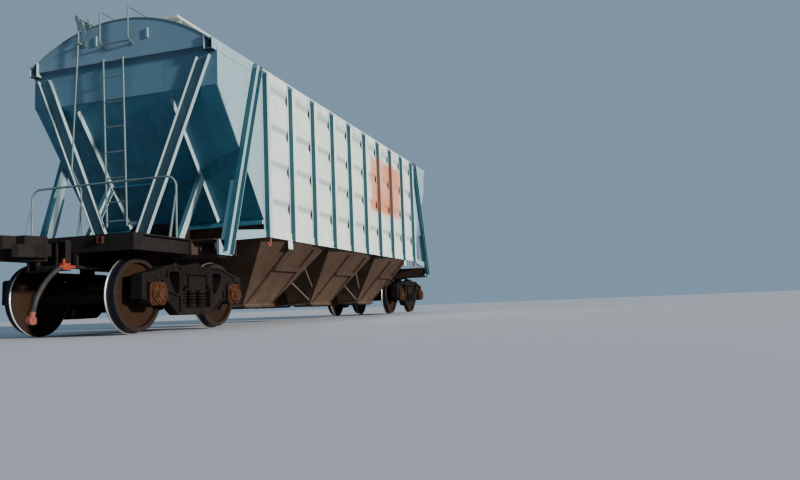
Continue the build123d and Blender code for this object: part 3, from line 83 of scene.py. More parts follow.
# %% [markdown]
# ## Floor and light
# The wagon stands on a plain pale floor. The photo was taken under a low winter sun that strikes the
# side nearly squarely, grazes the end, and leaves the rest in blue shade. The strut at the corner
# throws its shadow a third of a metre along the end, which gives the sun's direction. One warm,
# slightly soft sun lamp does the first, and a pale blue world does the second: a sun lamp has one
# direction all along the wagon, where an area lamp would fade towards the far end.

# %% Pale floor
FLOOR_R = 120
BELOW_WHEELS = 0.001
bpy.ops.object.select_all(action="DESELECT")
bpy.ops.mesh.primitive_circle_add(vertices=96, radius=FLOOR_R, fill_type="NGON",
                                  location=(0, 0, -BELOW_WHEELS))
floor = bpy.context.object
floor.name = "pale_floor"
floor_paint = bpy.data.materials.new("floor_paint")
floor_paint.use_nodes = True
floor_shader = floor_paint.node_tree.nodes["Principled BSDF"]
floor_shader.inputs["Base Color"].default_value = (0.52, 0.53, 0.55, 1)
floor_shader.inputs["Roughness"].default_value = 0.95
floor.data.materials.append(floor_paint)
print("floor", 2 * FLOOR_R, "m across")

# %% Sun and sky
SUN_TRAVEL = (0.20, 1.0, -0.22)
sun_data = bpy.data.lights.new("low_sun", "SUN")
sun_data.energy = 6.4
sun_data.angle = math.radians(4)
sun_data.color = (1.0, 0.93, 0.84)
sun = bpy.data.objects.new("low_sun", sun_data)
sun.rotation_euler = Vector(SUN_TRAVEL).to_track_quat("-Z", "Y").to_euler()
bpy.context.scene.collection.objects.link(sun)
world = bpy.data.worlds.new("pale_studio")
bpy.context.scene.world = world
world.use_nodes = True
sky = world.node_tree.nodes["Background"]
sky.inputs["Color"].default_value = (0.50, 0.74, 1.0, 1)
sky.inputs["Strength"].default_value = 0.43
print("sun", round(math.degrees(math.asin(-Vector(SUN_TRAVEL).normalized().z)), 1), "degrees high")

# %% [markdown]
# ## Weathered paint
# Wagon paint is never one colour. It fades in clouds, rain drags dirt down it in streaks, brake dust
# settles on the lower parts, and rust breaks through in chips. Each of these is a noise pattern on
# Object coordinates, so it stays on the steel in every view, and a Map Range node turns the noise into
# a mask between two colours. One builder makes them all, and each finish has its own numbers.


# %% Nodes
def node_of(tree, kind, **sockets):
    """New shader node with the given input values."""
    node = tree.nodes.new(kind)
    for name, value in sockets.items():
        node.inputs[name.replace("_", " ")].default_value = value
    return node


def maths(tree, operation, first, second=0.0):
    """Math node on two sockets, or on a socket and a number."""
    node = tree.nodes.new("ShaderNodeMath")
    node.operation = operation
    tree.links.new(first, node.inputs[0])
    if isinstance(second, (int, float)):
        node.inputs[1].default_value = second
    else:
        tree.links.new(second, node.inputs[1])
    return node.outputs[0]


def times(tree, first, second):
    """Product of two masks, or of a mask and a number."""
    return maths(tree, "MULTIPLY", first, second)


def absolute(tree, value):
    """The value without its sign, so that both sides or both ends of the wagon read alike."""
    return maths(tree, "ABSOLUTE", value)


# %% Masks
EVEN = (1, 1, 1)


def noise_mask(tree, scale, stretch, low, high, detail=6.0, seed=0.0):
    """Mask from 0 to 1: noise squeezed by stretch, with its values between low and high spread out."""
    place = tree.nodes.new("ShaderNodeTexCoord")
    mapping = node_of(tree, "ShaderNodeMapping", Scale=stretch, Location=(seed, seed * 1.7, seed * 0.6))
    noise = node_of(tree, "ShaderNodeTexNoise", Scale=scale, Detail=detail)
    spread = node_of(tree, "ShaderNodeMapRange", From_Min=low, From_Max=high)
    tree.links.new(place.outputs["Object"], mapping.inputs["Vector"])
    tree.links.new(mapping.outputs["Vector"], noise.inputs["Vector"])
    tree.links.new(noise.outputs["Fac"], spread.inputs["Value"])
    return spread.outputs["Result"]


def between(tree, value, at_zero, at_one):
    """Mask that runs from 0 where the value is at_zero to 1 where it is at_one."""
    low, high = min(at_zero, at_one), max(at_zero, at_one)
    spread = node_of(tree, "ShaderNodeMapRange", From_Min=low, From_Max=high)
    if at_zero > at_one:
        spread.inputs["To Min"].default_value = 1
        spread.inputs["To Max"].default_value = 0
    tree.links.new(value, spread.inputs["Value"])
    return spread.outputs["Result"]


def window(tree, value, rising, falling):
    """Mask that goes up over the first pair of values and down again over the second."""
    return times(tree, between(tree, value, *rising), between(tree, value, *falling))


# %% Places
def object_axis(tree, axis, output="Object"):
    """One of the X, Y and Z of a point's place, or of its normal, in the piece's own coordinates."""
    place = tree.nodes.new("ShaderNodeTexCoord")
    axes = tree.nodes.new("ShaderNodeSeparateXYZ")
    tree.links.new(place.outputs[output], axes.inputs["Vector"])
    return axes.outputs[axis]


def axle_distance(tree):
    """Distance from the nearest axle's middle line. All four axles are found by folding X twice."""
    along = absolute(tree, object_axis(tree, "X"))
    along = absolute(tree, maths(tree, "SUBTRACT", along, BOGIE_X))
    along = maths(tree, "SUBTRACT", along, HALF_WHEELBASE)
    above = maths(tree, "SUBTRACT", object_axis(tree, "Z"), AXLE_Z)
    squares = maths(tree, "ADD", times(tree, along, along), times(tree, above, above))
    return maths(tree, "SQRT", squares)


# %% Layers
# A Mix node has a set of sockets for each kind of data, and these are the colour ones.
MIX_BELOW, MIX_ABOVE, MIX_RESULT = 6, 7, 2


def layer(tree, below, above, mask):
    """Colour above laid on the colour below, where the mask says."""
    node = tree.nodes.new("ShaderNodeMix")
    node.data_type = "RGBA"
    tree.links.new(mask, node.inputs["Factor"])
    for socket, colour in ((node.inputs[MIX_BELOW], below), (node.inputs[MIX_ABOVE], above)):
        if isinstance(colour, tuple):
            socket.default_value = (*colour, 1)
        else:
            tree.links.new(colour, socket)
    return node.outputs[MIX_RESULT]


# %% Finish builder
RUST = (0.17, 0.06, 0.024)
CLOUD_SHARE = 0.6
DUST_FULL_Z = 0.4
GRAIN = 0.0006


def weathered(name, colour, faded, grime, streak, chips, rough, seed, dust=None, dust_top=None,
              metal=0.0, reflect=0.5, extra=None):
    """Paint or steel with fading, rain streaks, rust chips, dust low down, and extra layers of its own."""
    finish = bpy.data.materials.new(name)
    finish.use_nodes = True
    tree = finish.node_tree
    shader = tree.nodes["Principled BSDF"]
    clouds = noise_mask(tree, 1.6, EVEN, 0.38, 0.66, seed=seed)
    skin = layer(tree, colour, faded, times(tree, clouds, CLOUD_SHARE))
    rain = noise_mask(tree, 9, (1, 1, 0.07), 0.5, 0.74, seed=seed + 3)
    skin = layer(tree, skin, grime, times(tree, rain, streak))
    spots = noise_mask(tree, 26, (1, 1, 0.6), 0.655, 0.70, detail=9, seed=seed + 5)
    patches = noise_mask(tree, 2.3, EVEN, 0.45, 0.65, seed=seed + 8)
    skin = layer(tree, skin, RUST, times(tree, times(tree, spots, patches), chips))
    if dust:
        settled = between(tree, object_axis(tree, "Z"), dust_top, DUST_FULL_Z)
        uneven = noise_mask(tree, 4, (1, 1, 0.5), 0.3, 0.7, seed=seed + 9)
        skin = layer(tree, skin, dust, times(tree, settled, uneven))
    shine = node_of(tree, "ShaderNodeMapRange", To_Min=rough - 0.1, To_Max=min(1, rough + 0.25))
    wear = noise_mask(tree, 7, (1, 1, 0.5), 0.3, 0.7, seed=seed + 2)
    tree.links.new(wear, shine.inputs["Value"])
    gloss = shine.outputs["Result"]
    if extra:
        skin, gloss = extra(tree, skin, gloss, shader)
    tree.links.new(skin, shader.inputs["Base Color"])
    tree.links.new(gloss, shader.inputs["Roughness"])
    shader.inputs["Specular IOR Level"].default_value = reflect
    if not shader.inputs["Metallic"].is_linked:
        shader.inputs["Metallic"].default_value = metal
    bump = node_of(tree, "ShaderNodeBump", Strength=0.6, Distance=GRAIN)
    tree.links.new(noise_mask(tree, 160, EVEN, 0.2, 0.8, detail=3, seed=seed), bump.inputs["Height"])
    tree.links.new(bump.outputs["Normal"], shader.inputs["Normal"])
    return finish


# %% [markdown]
# ## Wheels and axle boxes
# A wheel is several finishes in one: the tread is smooth and painted nearly black with a blue tint, as
# painted shade and a painted reflection of the sky, the flange's tip is polished bright in use, the rim's
# side is brown, the disc has thick rust, and the axle is darker still. The distance from the axle's line
# tells them apart, so one finish serves all four wheelsets and turns with them.
# The axle boxes have orange rust on their covers, found by the same distance. Painting each face by
# hand would do it too, but the borders would then follow the mesh and not the circle.

# %% Wheel bands
RIM_FROM = (0.408, 0.416)
TREAD_FROM = (0.440, 0.455)
TIP_FROM = (0.492, 0.497)
AXLE_WITHIN = (0.125, 0.105)
NOT_SIDEWAYS = (0.93, 0.80)
RIM_BROWN = (0.020, 0.0135, 0.011)
# Painted shade and a painted sky reflection: the tread's near-black bluish colour.
TREAD_SHADE_AND_SKY = (0.0085, 0.0095, 0.015)
BRIGHT_STEEL = (0.62, 0.60, 0.58)
AXLE_BROWN = (0.010, 0.008, 0.007)


def wheel_bands(tree, skin, gloss, shader):
    """Rim, tread, flange tip and axle of a wheelset, by distance from the axle."""
    radius = axle_distance(tree)
    skin = layer(tree, skin, RIM_BROWN, between(tree, radius, *RIM_FROM))
    sideways = absolute(tree, object_axis(tree, "Y", "Normal"))
    tread = times(tree, between(tree, radius, *TREAD_FROM), between(tree, sideways, *NOT_SIDEWAYS))
    skin = layer(tree, skin, TREAD_SHADE_AND_SKY, tread)
    tip = between(tree, radius, *TIP_FROM)
    skin = layer(tree, skin, BRIGHT_STEEL, tip)
    tree.links.new(tip, shader.inputs["Metallic"])
    skin = layer(tree, skin, AXLE_BROWN, between(tree, radius, *AXLE_WITHIN))
    polished = maths(tree, "SUBTRACT", gloss, times(tree, tread, 0.25))
    return skin, maths(tree, "SUBTRACT", polished, times(tree, tip, 0.10))


# %% Axle box rust
BOX_WITHIN = (0.20, 0.185)
COVER_BEYOND = (1.12, 1.135)
RUST_DARK = (0.026, 0.013, 0.008)
RUST_ORANGE = (0.068, 0.026, 0.011)


def axle_box_rust(tree, skin, gloss, shader):
    """Orange rust on the outer faces of the axle boxes."""
    near_axle = between(tree, axle_distance(tree), *BOX_WITHIN)
    outside = between(tree, absolute(tree, object_axis(tree, "Y")), *COVER_BEYOND)
    blotches = noise_mask(tree, 11, EVEN, 0.30, 0.62, seed=41)
    orange = layer(tree, RUST_DARK, RUST_ORANGE, blotches)
    return layer(tree, skin, orange, times(tree, near_axle, outside)), gloss


# %% [markdown]
# ## The body's paint: pale in the sun, deep teal in painted shade
# The wagon's sides are pale: they have stood in the sun for years and faded, and the pale paint is also
# painted sunlight. Everything that faces along the wagon is a deep teal, partly its unfaded paint and
# partly painted shade. A point's normal tells the two apart, so one finish covers each welded frame
# whole, and the border falls on the steel's own edges. The right side carries an old soft patch of faded
# orange paint over four panels.

# %% Deep teal
# The deep teal is partly the paint's own colour and partly painted shade.
TEAL_LIGHT = (0.072, 0.172, 0.240)
TEAL_DARK = (0.050, 0.135, 0.200)
TEAL_GRIME = (0.03, 0.08, 0.11)
TEAL_UNDERSIDE_SHADE = (0.010, 0.022, 0.030)


def bleached_and_sunlit_faces(tree):
    """Mask of the faces that look sideways, where the paint is bleached by the sun and painted as sunlit."""
    return between(tree, absolute(tree, object_axis(tree, "Y", "Normal")), 0.55, 0.85)


def teal_and_painted_shade(tree):
    """Deep teal of the faces along the wagon, partly unfaded paint and partly painted shade, with clouds,
    streaks and painted shade on undersides.
    """
    clouds = noise_mask(tree, 1.1, EVEN, 0.36, 0.66, seed=57)
    rain = times(tree, noise_mask(tree, 8, (1, 1, 0.06), 0.50, 0.80, seed=59), 0.35)
    skin = layer(tree, layer(tree, TEAL_DARK, TEAL_LIGHT, clouds), TEAL_GRIME, rain)
    # Painted shade: faces turned downward are made nearly black.
    under = between(tree, object_axis(tree, "Z", "Normal"), -0.55, -0.85)
    return layer(tree, skin, TEAL_UNDERSIDE_SHADE, times(tree, under, 0.9))


# %% Orange patch
PATCH_ALONG = ((0.85, 1.00), (3.12, 2.98))
PATCH_HEIGHT = ((2.30, 2.42), (3.68, 3.56))


def orange_patch(tree, along, height):
    """Mask of the soft patch, on the right side only."""
    wide = window(tree, along, *PATCH_ALONG)
    tall = window(tree, height, *PATCH_HEIGHT)
    right_side = between(tree, object_axis(tree, "Y"), 0.0, -0.1)
    return times(tree, times(tree, wide, tall), right_side)


# %% Faded sides
LIP_SHADE = (0.27, 0.345, 0.325)
ORANGE = (0.58, 0.20, 0.09)
END_PANEL_BLUE = (0.185, 0.305, 0.365)
EAVES_DIRT = (0.33, 0.37, 0.34)
POST_SIDE_SHADE = (0.007, 0.080, 0.104)
ORANGE_IN_SHADE = (0.17, 0.110, 0.098)
GABLE_BLUE = (0.125, 0.215, 0.285)


def faded_and_sunlit_sides(tree, skin, gloss, shader):
    """Pale sides, bleached and painted sunlit, with painted shade under the groove lips, patch, eaves and
    bluer ends, over teal with painted shade on the post sides, and the gable.
    """
    along = object_axis(tree, "X")
    height = object_axis(tree, "Z")
    lip = between(tree, object_axis(tree, "Z", "Normal"), -0.06, -0.36)
    skin = layer(tree, skin, LIP_SHADE, times(tree, lip, 0.7))
    patch = orange_patch(tree, along, height)
    worn = noise_mask(tree, 1.3, EVEN, 0.15, 0.60, seed=51)
    share = maths(tree, "ADD", times(tree, worn, 0.5), 0.45)
    skin = layer(tree, skin, ORANGE, times(tree, patch, share))
    ends = between(tree, absolute(tree, along), 3.95, 4.15)
    skin = layer(tree, skin, END_PANEL_BLUE, times(tree, ends, 0.9))
    streaks = noise_mask(tree, 14, (1, 1, 0.05), 0.46, 0.70, seed=54)
    eaves = times(tree, between(tree, height, 3.35, 3.95), streaks)
    skin = layer(tree, skin, EAVES_DIRT, times(tree, eaves, 0.5))
    teal = teal_and_painted_shade(tree)
    # Painted shade: the posts' sides, which face along the wagon, are made darker still.
    outside_sheet = between(tree, absolute(tree, object_axis(tree, "Y")), 1.580, 1.586)
    teal = layer(tree, teal, POST_SIDE_SHADE, times(tree, outside_sheet, 0.94))
    teal = layer(tree, teal, ORANGE_IN_SHADE, times(tree, patch, 0.75))
    gable = between(tree, height, 3.944, 3.954)
    teal = layer(tree, teal, GABLE_BLUE, times(tree, gable, 0.75))
    return layer(tree, teal, skin, bleached_and_sunlit_faces(tree)), gloss


# %% [markdown]
# ## Edges and fittings
# The sloping ends and the struts are teal too, and only their thin edges look sideways: these are pale,
# partly bleached and partly painted sunlight.
# The brake cocks at both ends are red, and the catch bracket on each end beam is a darker red. All of
# these belong to one CAD node with the tank, so their place along the wagon picks them out.

# %% Edges and red fittings
EDGE_PALE_SUNLIT = (0.36, 0.47, 0.48)
RED_WORN, RED_BRIGHT, RED_DARK = (0.10, 0.022, 0.015), (0.26, 0.040, 0.022), (0.050, 0.016, 0.012)


def bleached_and_sunlit_edges(tree, skin, gloss, shader):
    """Pale paint on the edges that look sideways: bleaching and painted sunlight."""
    return layer(tree, skin, EDGE_PALE_SUNLIT, times(tree, bleached_and_sunlit_faces(tree), 0.85)), gloss


def red_fittings(tree, skin, gloss, shader):
    """Red paint on the brake cocks at both ends and on the catch bracket of each end beam."""
    past_beam = between(tree, absolute(tree, object_axis(tree, "X")), 6.752, 6.758)
    worn = noise_mask(tree, 30, EVEN, 0.28, 0.50, seed=61)
    red = layer(tree, RED_WORN, RED_BRIGHT, worn)
    bracket = between(tree, object_axis(tree, "Z"), 1.05 + FLANGE, 1.06 + FLANGE)
    return layer(tree, skin, layer(tree, red, RED_DARK, bracket), past_beam), gloss


# %% [markdown]
# ## The list of finishes
# Each finish has three colours: its own, the one it fades to and its dirt. The end paint and the strut
# paint are darkened as painted shade, and the frame paint's near black is partly its grime and partly
# painted shade. Dark paint that is covered in dust hardly shines, so those have a low `reflect`, without
# which the blue sky turns them grey. A node takes the finish of its CAD slot, apart from a few that share a
# slot but not a colour.

# %% Finishes
DUSTY = 0.12
recipes = {
    "body_paint": dict(colour=(0.54, 0.63, 0.60), faded=(0.70, 0.75, 0.70), grime=(0.36, 0.42, 0.39),
                       streak=0.45, chips=0.55, rough=0.5, seed=1, extra=faded_and_sunlit_sides),
    # Painted shade: the sloping ends' teal is darkened for the shade beneath them.
    "end_paint": dict(colour=(0.024, 0.125, 0.200), faded=(0.046, 0.18, 0.265), grime=(0.014, 0.050, 0.075),
                      streak=0.5, chips=0.4, rough=0.5, seed=4, extra=bleached_and_sunlit_edges),
    "roof_paint": dict(colour=(0.36, 0.43, 0.42), faded=(0.50, 0.53, 0.49), grime=(0.19, 0.19, 0.17),
                       streak=0.5, chips=0.6, rough=0.6, seed=7),
    "bunker_paint": dict(colour=(0.050, 0.031, 0.021), faded=(0.075, 0.049, 0.034),
                         grime=(0.027, 0.018, 0.014), streak=0.6, chips=0.4, rough=0.75, seed=11,
                         reflect=DUSTY, dust=(0.095, 0.066, 0.047), dust_top=0.9),
    "fittings_paint": dict(colour=(0.085, 0.14, 0.155), faded=(0.15, 0.21, 0.22), grime=(0.04, 0.052, 0.053),
                           streak=0.3, chips=0.9, rough=0.5, seed=14),
    # Partly painted shade: the frame's near black is its grime and the deep shade of the low underframe.
    "frame_paint": dict(colour=(0.012, 0.0098, 0.0103), faded=(0.022, 0.0178, 0.0176),
                        grime=(0.0062, 0.0055, 0.0055), streak=0.6, chips=0.35, rough=0.75, seed=17,
                        reflect=DUSTY),
    "brake_paint": dict(colour=(0.16, 0.035, 0.025), faded=(0.24, 0.065, 0.045), grime=(0.045, 0.020, 0.016),
                        streak=0.4, chips=0.5, rough=0.6, seed=19),
    "cast_steel": dict(colour=(0.012, 0.0095, 0.0085), faded=(0.025, 0.019, 0.016),
                       grime=(0.006, 0.005, 0.005), streak=0.4, chips=0.5, rough=0.7, metal=0.2,
                       seed=21, reflect=DUSTY),
    "bogie_paint": dict(colour=(0.0055, 0.0043, 0.0042), faded=(0.014, 0.0100, 0.0088),
                        grime=(0.003, 0.0028, 0.0026), streak=0.6, chips=0.25, rough=0.8, seed=23,
                        reflect=DUSTY, dust=(0.014, 0.0105, 0.009), dust_top=0.8, extra=axle_box_rust),
    "wheel_steel": dict(colour=(0.016, 0.0080, 0.0042), faded=(0.035, 0.0180, 0.0085),
                        grime=(0.009, 0.006, 0.005), streak=0.3, chips=0.35, rough=0.65, seed=27,
                        reflect=DUSTY, extra=wheel_bands),
    "hose_rubber": dict(colour=(0.012, 0.012, 0.012), faded=(0.03, 0.03, 0.028), grime=(0.05, 0.045, 0.04),
                        streak=0.5, chips=0.0, rough=0.7, seed=29),
    # Painted shade: the struts' teal is darkened for the shade of their flanges.
    "strut_shaded_paint": dict(colour=(0.034, 0.105, 0.145), faded=(0.054, 0.140, 0.185),
                        grime=(0.020, 0.052, 0.070), streak=0.5, chips=0.5, rough=0.5, seed=31,
                        extra=bleached_and_sunlit_edges),
    "stay_steel": dict(colour=(0.11, 0.080, 0.062), faded=(0.20, 0.16, 0.13), grime=(0.05, 0.038, 0.030),
                       streak=0.4, chips=0.8, rough=0.7, seed=33),
    "tank_paint": dict(colour=(0.012, 0.010, 0.010), faded=(0.024, 0.020, 0.018), grime=(0.006, 0.005, 0.005),
                       streak=0.5, chips=0.4, rough=0.65, seed=35, reflect=DUSTY, extra=red_fittings),
    "bolster_paint": dict(colour=(0.036, 0.021, 0.019), faded=(0.060, 0.037, 0.032),
                          grime=(0.017, 0.012, 0.011), streak=0.5, chips=0.4, rough=0.7, seed=37,
                          reflect=DUSTY),
}
finishes = {name: weathered(name, **recipe) for name, recipe in recipes.items()}
print("finishes:", len(finishes))

# %% Paint the nodes
variants = {"bunker_stays": "stay_steel", "brake_gear": "tank_paint"}
for end, sign in ENDS:
    variants["end_struts_" + end] = "strut_shaded_paint"
    variants["body_bolster_" + end] = "bolster_paint"
for entry in frame["record"]["subparts"]:
    painted = nodes[entry["node"]]
    painted.data.materials.clear()
    painted.data.materials.append(finishes[variants.get(entry["node"], entry["material_slot"])])

# %% [markdown]
# ## Bench tools
# Every added piece is started from a primitive, shaped in edit mode, and then settled: its modifiers
# are applied and its place goes into its mesh, so that the object itself stands at the origin as the
# CAD nodes do. A repeated piece is modelled once and copied to each of its places.


# %% Select, name and settle
def only(piece):
    """Select one piece and nothing else."""
    bpy.ops.object.select_all(action="DESELECT")
    piece.select_set(True)
    bpy.context.view_layer.objects.active = piece


def added(name):
    """The piece that an operator has just added, with its name."""
    piece = bpy.context.object
    piece.name = name
    piece.data.name = name
    return piece


def hoop(name, vertices, radius, place=(0, 0, 0)):
    """Ring of edges with no face, lying flat, the start of a swept bar."""
    bpy.ops.mesh.primitive_circle_add(vertices=vertices, radius=radius, location=place)
    return added(name)


def settle(piece):
    """Apply the piece's modifiers and put its place into its mesh."""
    only(piece)
    for modifier in list(piece.modifiers):
        bpy.ops.object.modifier_apply(modifier=modifier.name)
    bpy.ops.object.transform_apply(location=True, rotation=True, scale=True)
    return piece


def bevelled(piece, width, segments):
    """Turn the piece's edges and settle it."""
    edge = piece.modifiers.new("edge", "BEVEL")
    edge.width = width
    edge.segments = segments
    return settle(piece)


# %% Edit and close
def start_edit(piece):
    """Open a piece in edit mode with all of it selected."""
    only(piece)
    bpy.ops.object.mode_set(mode="EDIT")
    bpy.ops.mesh.select_all(action="SELECT")


def close_up(piece):
    """Cap the open ends of a tube and turn its faces outwards."""
    start_edit(piece)
    bpy.ops.mesh.remove_doubles(threshold=0.00005)
    bpy.ops.mesh.fill_holes(sides=64)
    bpy.ops.mesh.normals_make_consistent(inside=False)
    bpy.ops.object.mode_set(mode="OBJECT")
    return piece


# %% Join and copy
def joined(name, pieces):
    """Several pieces as one object."""
    bpy.ops.object.select_all(action="DESELECT")
    for piece in pieces:
        piece.select_set(True)
    whole = pieces[0]
    bpy.context.view_layer.objects.active = whole
    if len(pieces) > 1:
        bpy.ops.object.join()
    whole.name = name
    whole.data.name = name
    return whole


def copies(name, master, places):
    """One object made of a copy of the master at each place, a matrix. The master goes away."""
    made = []
    for place in places:
        twin = bpy.data.objects.new(name, master.data.copy())
        twin.data.transform(place)
        bpy.context.scene.collection.objects.link(twin)
        made.append(twin)
    bpy.data.objects.remove(master)
    return joined(name, made)


def facing(point, normal, spin=0.0):
    """Matrix that stands a piece modelled along +Z at a point, pointing along the normal."""
    turn_to = Vector(normal).to_track_quat("Z", "Y").to_matrix().to_4x4()
    return Matrix.Translation(point) @ turn_to @ Matrix.Rotation(spin, 4, "Z")


# %% Dress
def dress(piece, body, finish, smooth=None):
    """Give a piece its finish and let it ride on a CAD body."""
    piece.data.materials.clear()
    piece.data.materials.append(finishes[finish])
    if smooth:
        only(piece)
        bpy.ops.object.shade_smooth_by_angle(angle=math.radians(smooth))
    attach(piece, body)
    print(piece.name, "faces", len(piece.data.polygons))
    return piece


# %% [markdown]
# ## Wound springs
# Each bogie stands on fourteen coil springs. The CAD has a stand-in for each, a stack of rings. The
# real thing is one thick bar wound into a helix, with its last turn at each end laid flat on its seat.
# A helix is a circle turned and lifted at once, which is what the Screw modifier does, and the flat end
# turns are rings of the same bar. A lighter spring of the other hand stands inside each.

# %% One spring
SPRING_LOW, SPRING_HIGH = 0.290 + FLANGE, 0.528 + FLANGE
TURN_STEPS = 20
BAR_SIDES = 8


def coil(name, ring, bar, turns, hand):
    """Wound bar of one spring at the origin, between the two seats. Ring and bar are radii."""
    low, high = SPRING_LOW + bar, SPRING_HIGH - bar
    wound = hoop(name, BAR_SIDES, bar)
    wound.data.transform(Matrix.Translation((ring, 0, low)) @ Matrix.Rotation(math.pi / 2, 4, "X"))
    screw = wound.modifiers.new("wind", "SCREW")
    screw.angle = hand * 2 * math.pi
    screw.screw_offset = (high - low) / turns
    screw.iterations = turns
    screw.steps = screw.render_steps = TURN_STEPS
    rings = [close_up(settle(wound))]
    for seat in (low, high):
        bpy.ops.mesh.primitive_torus_add(major_radius=ring, minor_radius=bar, major_segments=TURN_STEPS,
                                         minor_segments=BAR_SIDES, location=(0, 0, seat))
        rings.append(settle(added(name + "_end")))
    return joined(name, rings)


# %% Spring nests
SPRING_Y = 1.018
SPRING_POINTS = ((-0.228, 0), (0.228, 0), (0, 0),
                 (-0.114, -0.062), (0.114, -0.062), (-0.114, 0.062), (0.114, 0.062))
for end, sign in ENDS:
    outer = coil("outer_coil", ring=0.050, bar=0.0135, turns=5, hand=1)
    inner = coil("inner_coil", ring=0.0235, bar=0.008, turns=7, hand=-1)
    seats = [Matrix.Translation((sign * BOGIE_X + x, side * (SPRING_Y + y), 0))
             for side in (-1, 1) for x, y in SPRING_POINTS]
    nest = copies("wound_springs_" + end, joined("spring", [outer, inner]), seats)
    dress(nest, "bogie_" + end, "bogie_paint", smooth=50)
    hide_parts("bogie_springs_" + end)

# %% [markdown]
# ## Bolts and rivets
# A bolt head is a six-sided prism with turned edges and a washer under it. A rivet head is the cap of a
# sphere. Both could be painted on as bumps, but low sun rakes along them and a bump throws no shadow.
# Each is modelled once at the origin, pointing up, and copied to its places.


# %% Bolt and rivet
def bolt(size):
    """Hexagon head with its washer, standing on the origin. Size is the thread's diameter."""
    bpy.ops.mesh.primitive_cylinder_add(vertices=6, radius=size * 0.87, depth=size * 0.64,
                                        location=(0, 0, size * 0.47))
    head = bevelled(added("bolt_head"), width=size * 0.08, segments=2)
    bpy.ops.mesh.primitive_cylinder_add(vertices=18, radius=size * 1.05, depth=size * 0.15,
                                        location=(0, 0, size * 0.075))
    return joined("bolt", [head, settle(added("washer"))])


def rivet(radius):
    """Round rivet head, the upper part of a sphere."""
    bpy.ops.mesh.primitive_uv_sphere_add(segments=12, ring_count=8, radius=radius,
                                         location=(0, 0, -radius * 0.25))
    head = settle(added("rivet"))
    start_edit(head)
    bpy.ops.mesh.bisect(plane_co=(0, 0, -radius * 0.1), plane_no=(0, 0, 1), clear_inner=True, use_fill=True)
    bpy.ops.object.mode_set(mode="OBJECT")
    return head


# %% [markdown]
# ## Axle box covers
# Eight bolts hold the round cover of each axle box, around a low cap in its middle. The cap is a
# cylinder with a turned edge. Both ride with their bogie, so they are placed for each bogie in turn.

# %% Axle box covers
COVER_Y = 1.190
COVER_BOLTS = 8
BOLT_CIRCLE = 0.102
CAP_R, CAP_T = 0.062, 0.016
for end, sign in ENDS:
    places = []
    caps = []
    for x in (sign * BOGIE_X - HALF_WHEELBASE, sign * BOGIE_X + HALF_WHEELBASE):
        for side in (-1, 1):
            caps.append(facing((x, side * COVER_Y, AXLE_Z), (0, side, 0)))
            for step in range(COVER_BOLTS):
                angle = math.pi * (step + 0.5) / 4
                along, above = BOLT_CIRCLE * math.cos(angle), BOLT_CIRCLE * math.sin(angle)
                spot = (x + along, side * COVER_Y, AXLE_Z + above)
                places.append(facing(spot, (0, side, 0), spin=step * 0.5))
    dress(copies("axle_box_bolts_" + end, bolt(0.020), places), "bogie_" + end, "bogie_paint")
    bpy.ops.mesh.primitive_cylinder_add(vertices=32, radius=CAP_R, depth=CAP_T, location=(0, 0, 0.006))
    cap = bevelled(added("cap"), width=0.004, segments=2)
    dress(copies("axle_box_caps_" + end, cap, caps), "bogie_" + end, "bogie_paint", smooth=40)

# %% [markdown]
# ## End beam rivets
# The plate around the coupler is riveted to each end beam, with two upright rows of round heads on
# either side. They sit on the plate's face and ride with the body.

# %% End beam rivets
BEAM_X = 6.764
RIVET_Y = (0.192, 0.252)
RIVET_Z = (0.86, 0.94, 1.02, 1.10)
for end, sign in ENDS:
    places = [facing((sign * BEAM_X, side * y, z + FLANGE), (sign, 0, 0))
              for side in (-1, 1) for y in RIVET_Y for z in RIVET_Z]
    dress(copies("beam_rivets_" + end, rivet(0.016), places), "wagon_body", "frame_paint", smooth=60)

# %% [markdown]
# ## Weld beads
# The posts and the eaves are welded on, and a hand weld is a low uneven ridge along each joint. A bead
# is a six-sided ring swept straight by the Screw modifier with no turn, then roughened by the Displace
# modifier with a cloud texture, so its lumps are real shape.

# %% Weld bead
lumps = bpy.data.textures.new("weld_lumps", "CLOUDS")
lumps.noise_scale = 0.02


def weld(start, end, radius, step):
    """One bead between two points, with a ring of vertices at each step."""
    start, end = Vector(start), Vector(end)
    length = (end - start).length
    bead = hoop("bead", 6, radius)
    run = bead.modifiers.new("run", "SCREW")
    run.angle = 0
    run.screw_offset = length
    run.steps = run.render_steps = max(4, int(length / step))
    settle(bead)
    rough = bead.modifiers.new("rough", "DISPLACE")
    rough.texture = lumps
    rough.strength = radius * 0.9
    rough.mid_level = 0.5
    close_up(settle(bead))
    bead.data.transform(facing(start, end - start))
    return bead


# %% [markdown]
# ## Post flanges
# Each post is a hat section with a thin flange down both edges, which bridges the sheet's grooves and
# leaves a dark gap behind it. A flange is a flat strip, a cube drawn out to its size with its edges
# turned. The bead along it stops at each groove, because the sheet leaves the flange there.

# %% Post flange
POST_X = [-4.059 + 0.902 * index for index in range(10)]
POST_EDGE = 0.054
STRIP_W, STRIP_T = 0.030, 0.006
STRIP_LOW, STRIP_HIGH = 1.372, 3.884
SHEET_FACE_Y = 1.5785


def post_flange(x, side, edge):
    """Flat strip beside a post, against the side sheet, with its outer edges turned."""
    bpy.ops.mesh.primitive_cube_add(size=1, location=(0, 0, 0))
    strip = added("post_flange")
    strip.data.transform(Matrix.Diagonal((STRIP_W, STRIP_T, STRIP_HIGH - STRIP_LOW, 1)))
    middle = (x + edge * (POST_EDGE + STRIP_W / 2), side * (SHEET_FACE_Y + STRIP_T / 2),
              (STRIP_LOW + STRIP_HIGH) / 2)
    strip.data.transform(Matrix.Translation(middle))
    return bevelled(strip, width=0.0015, segments=1)


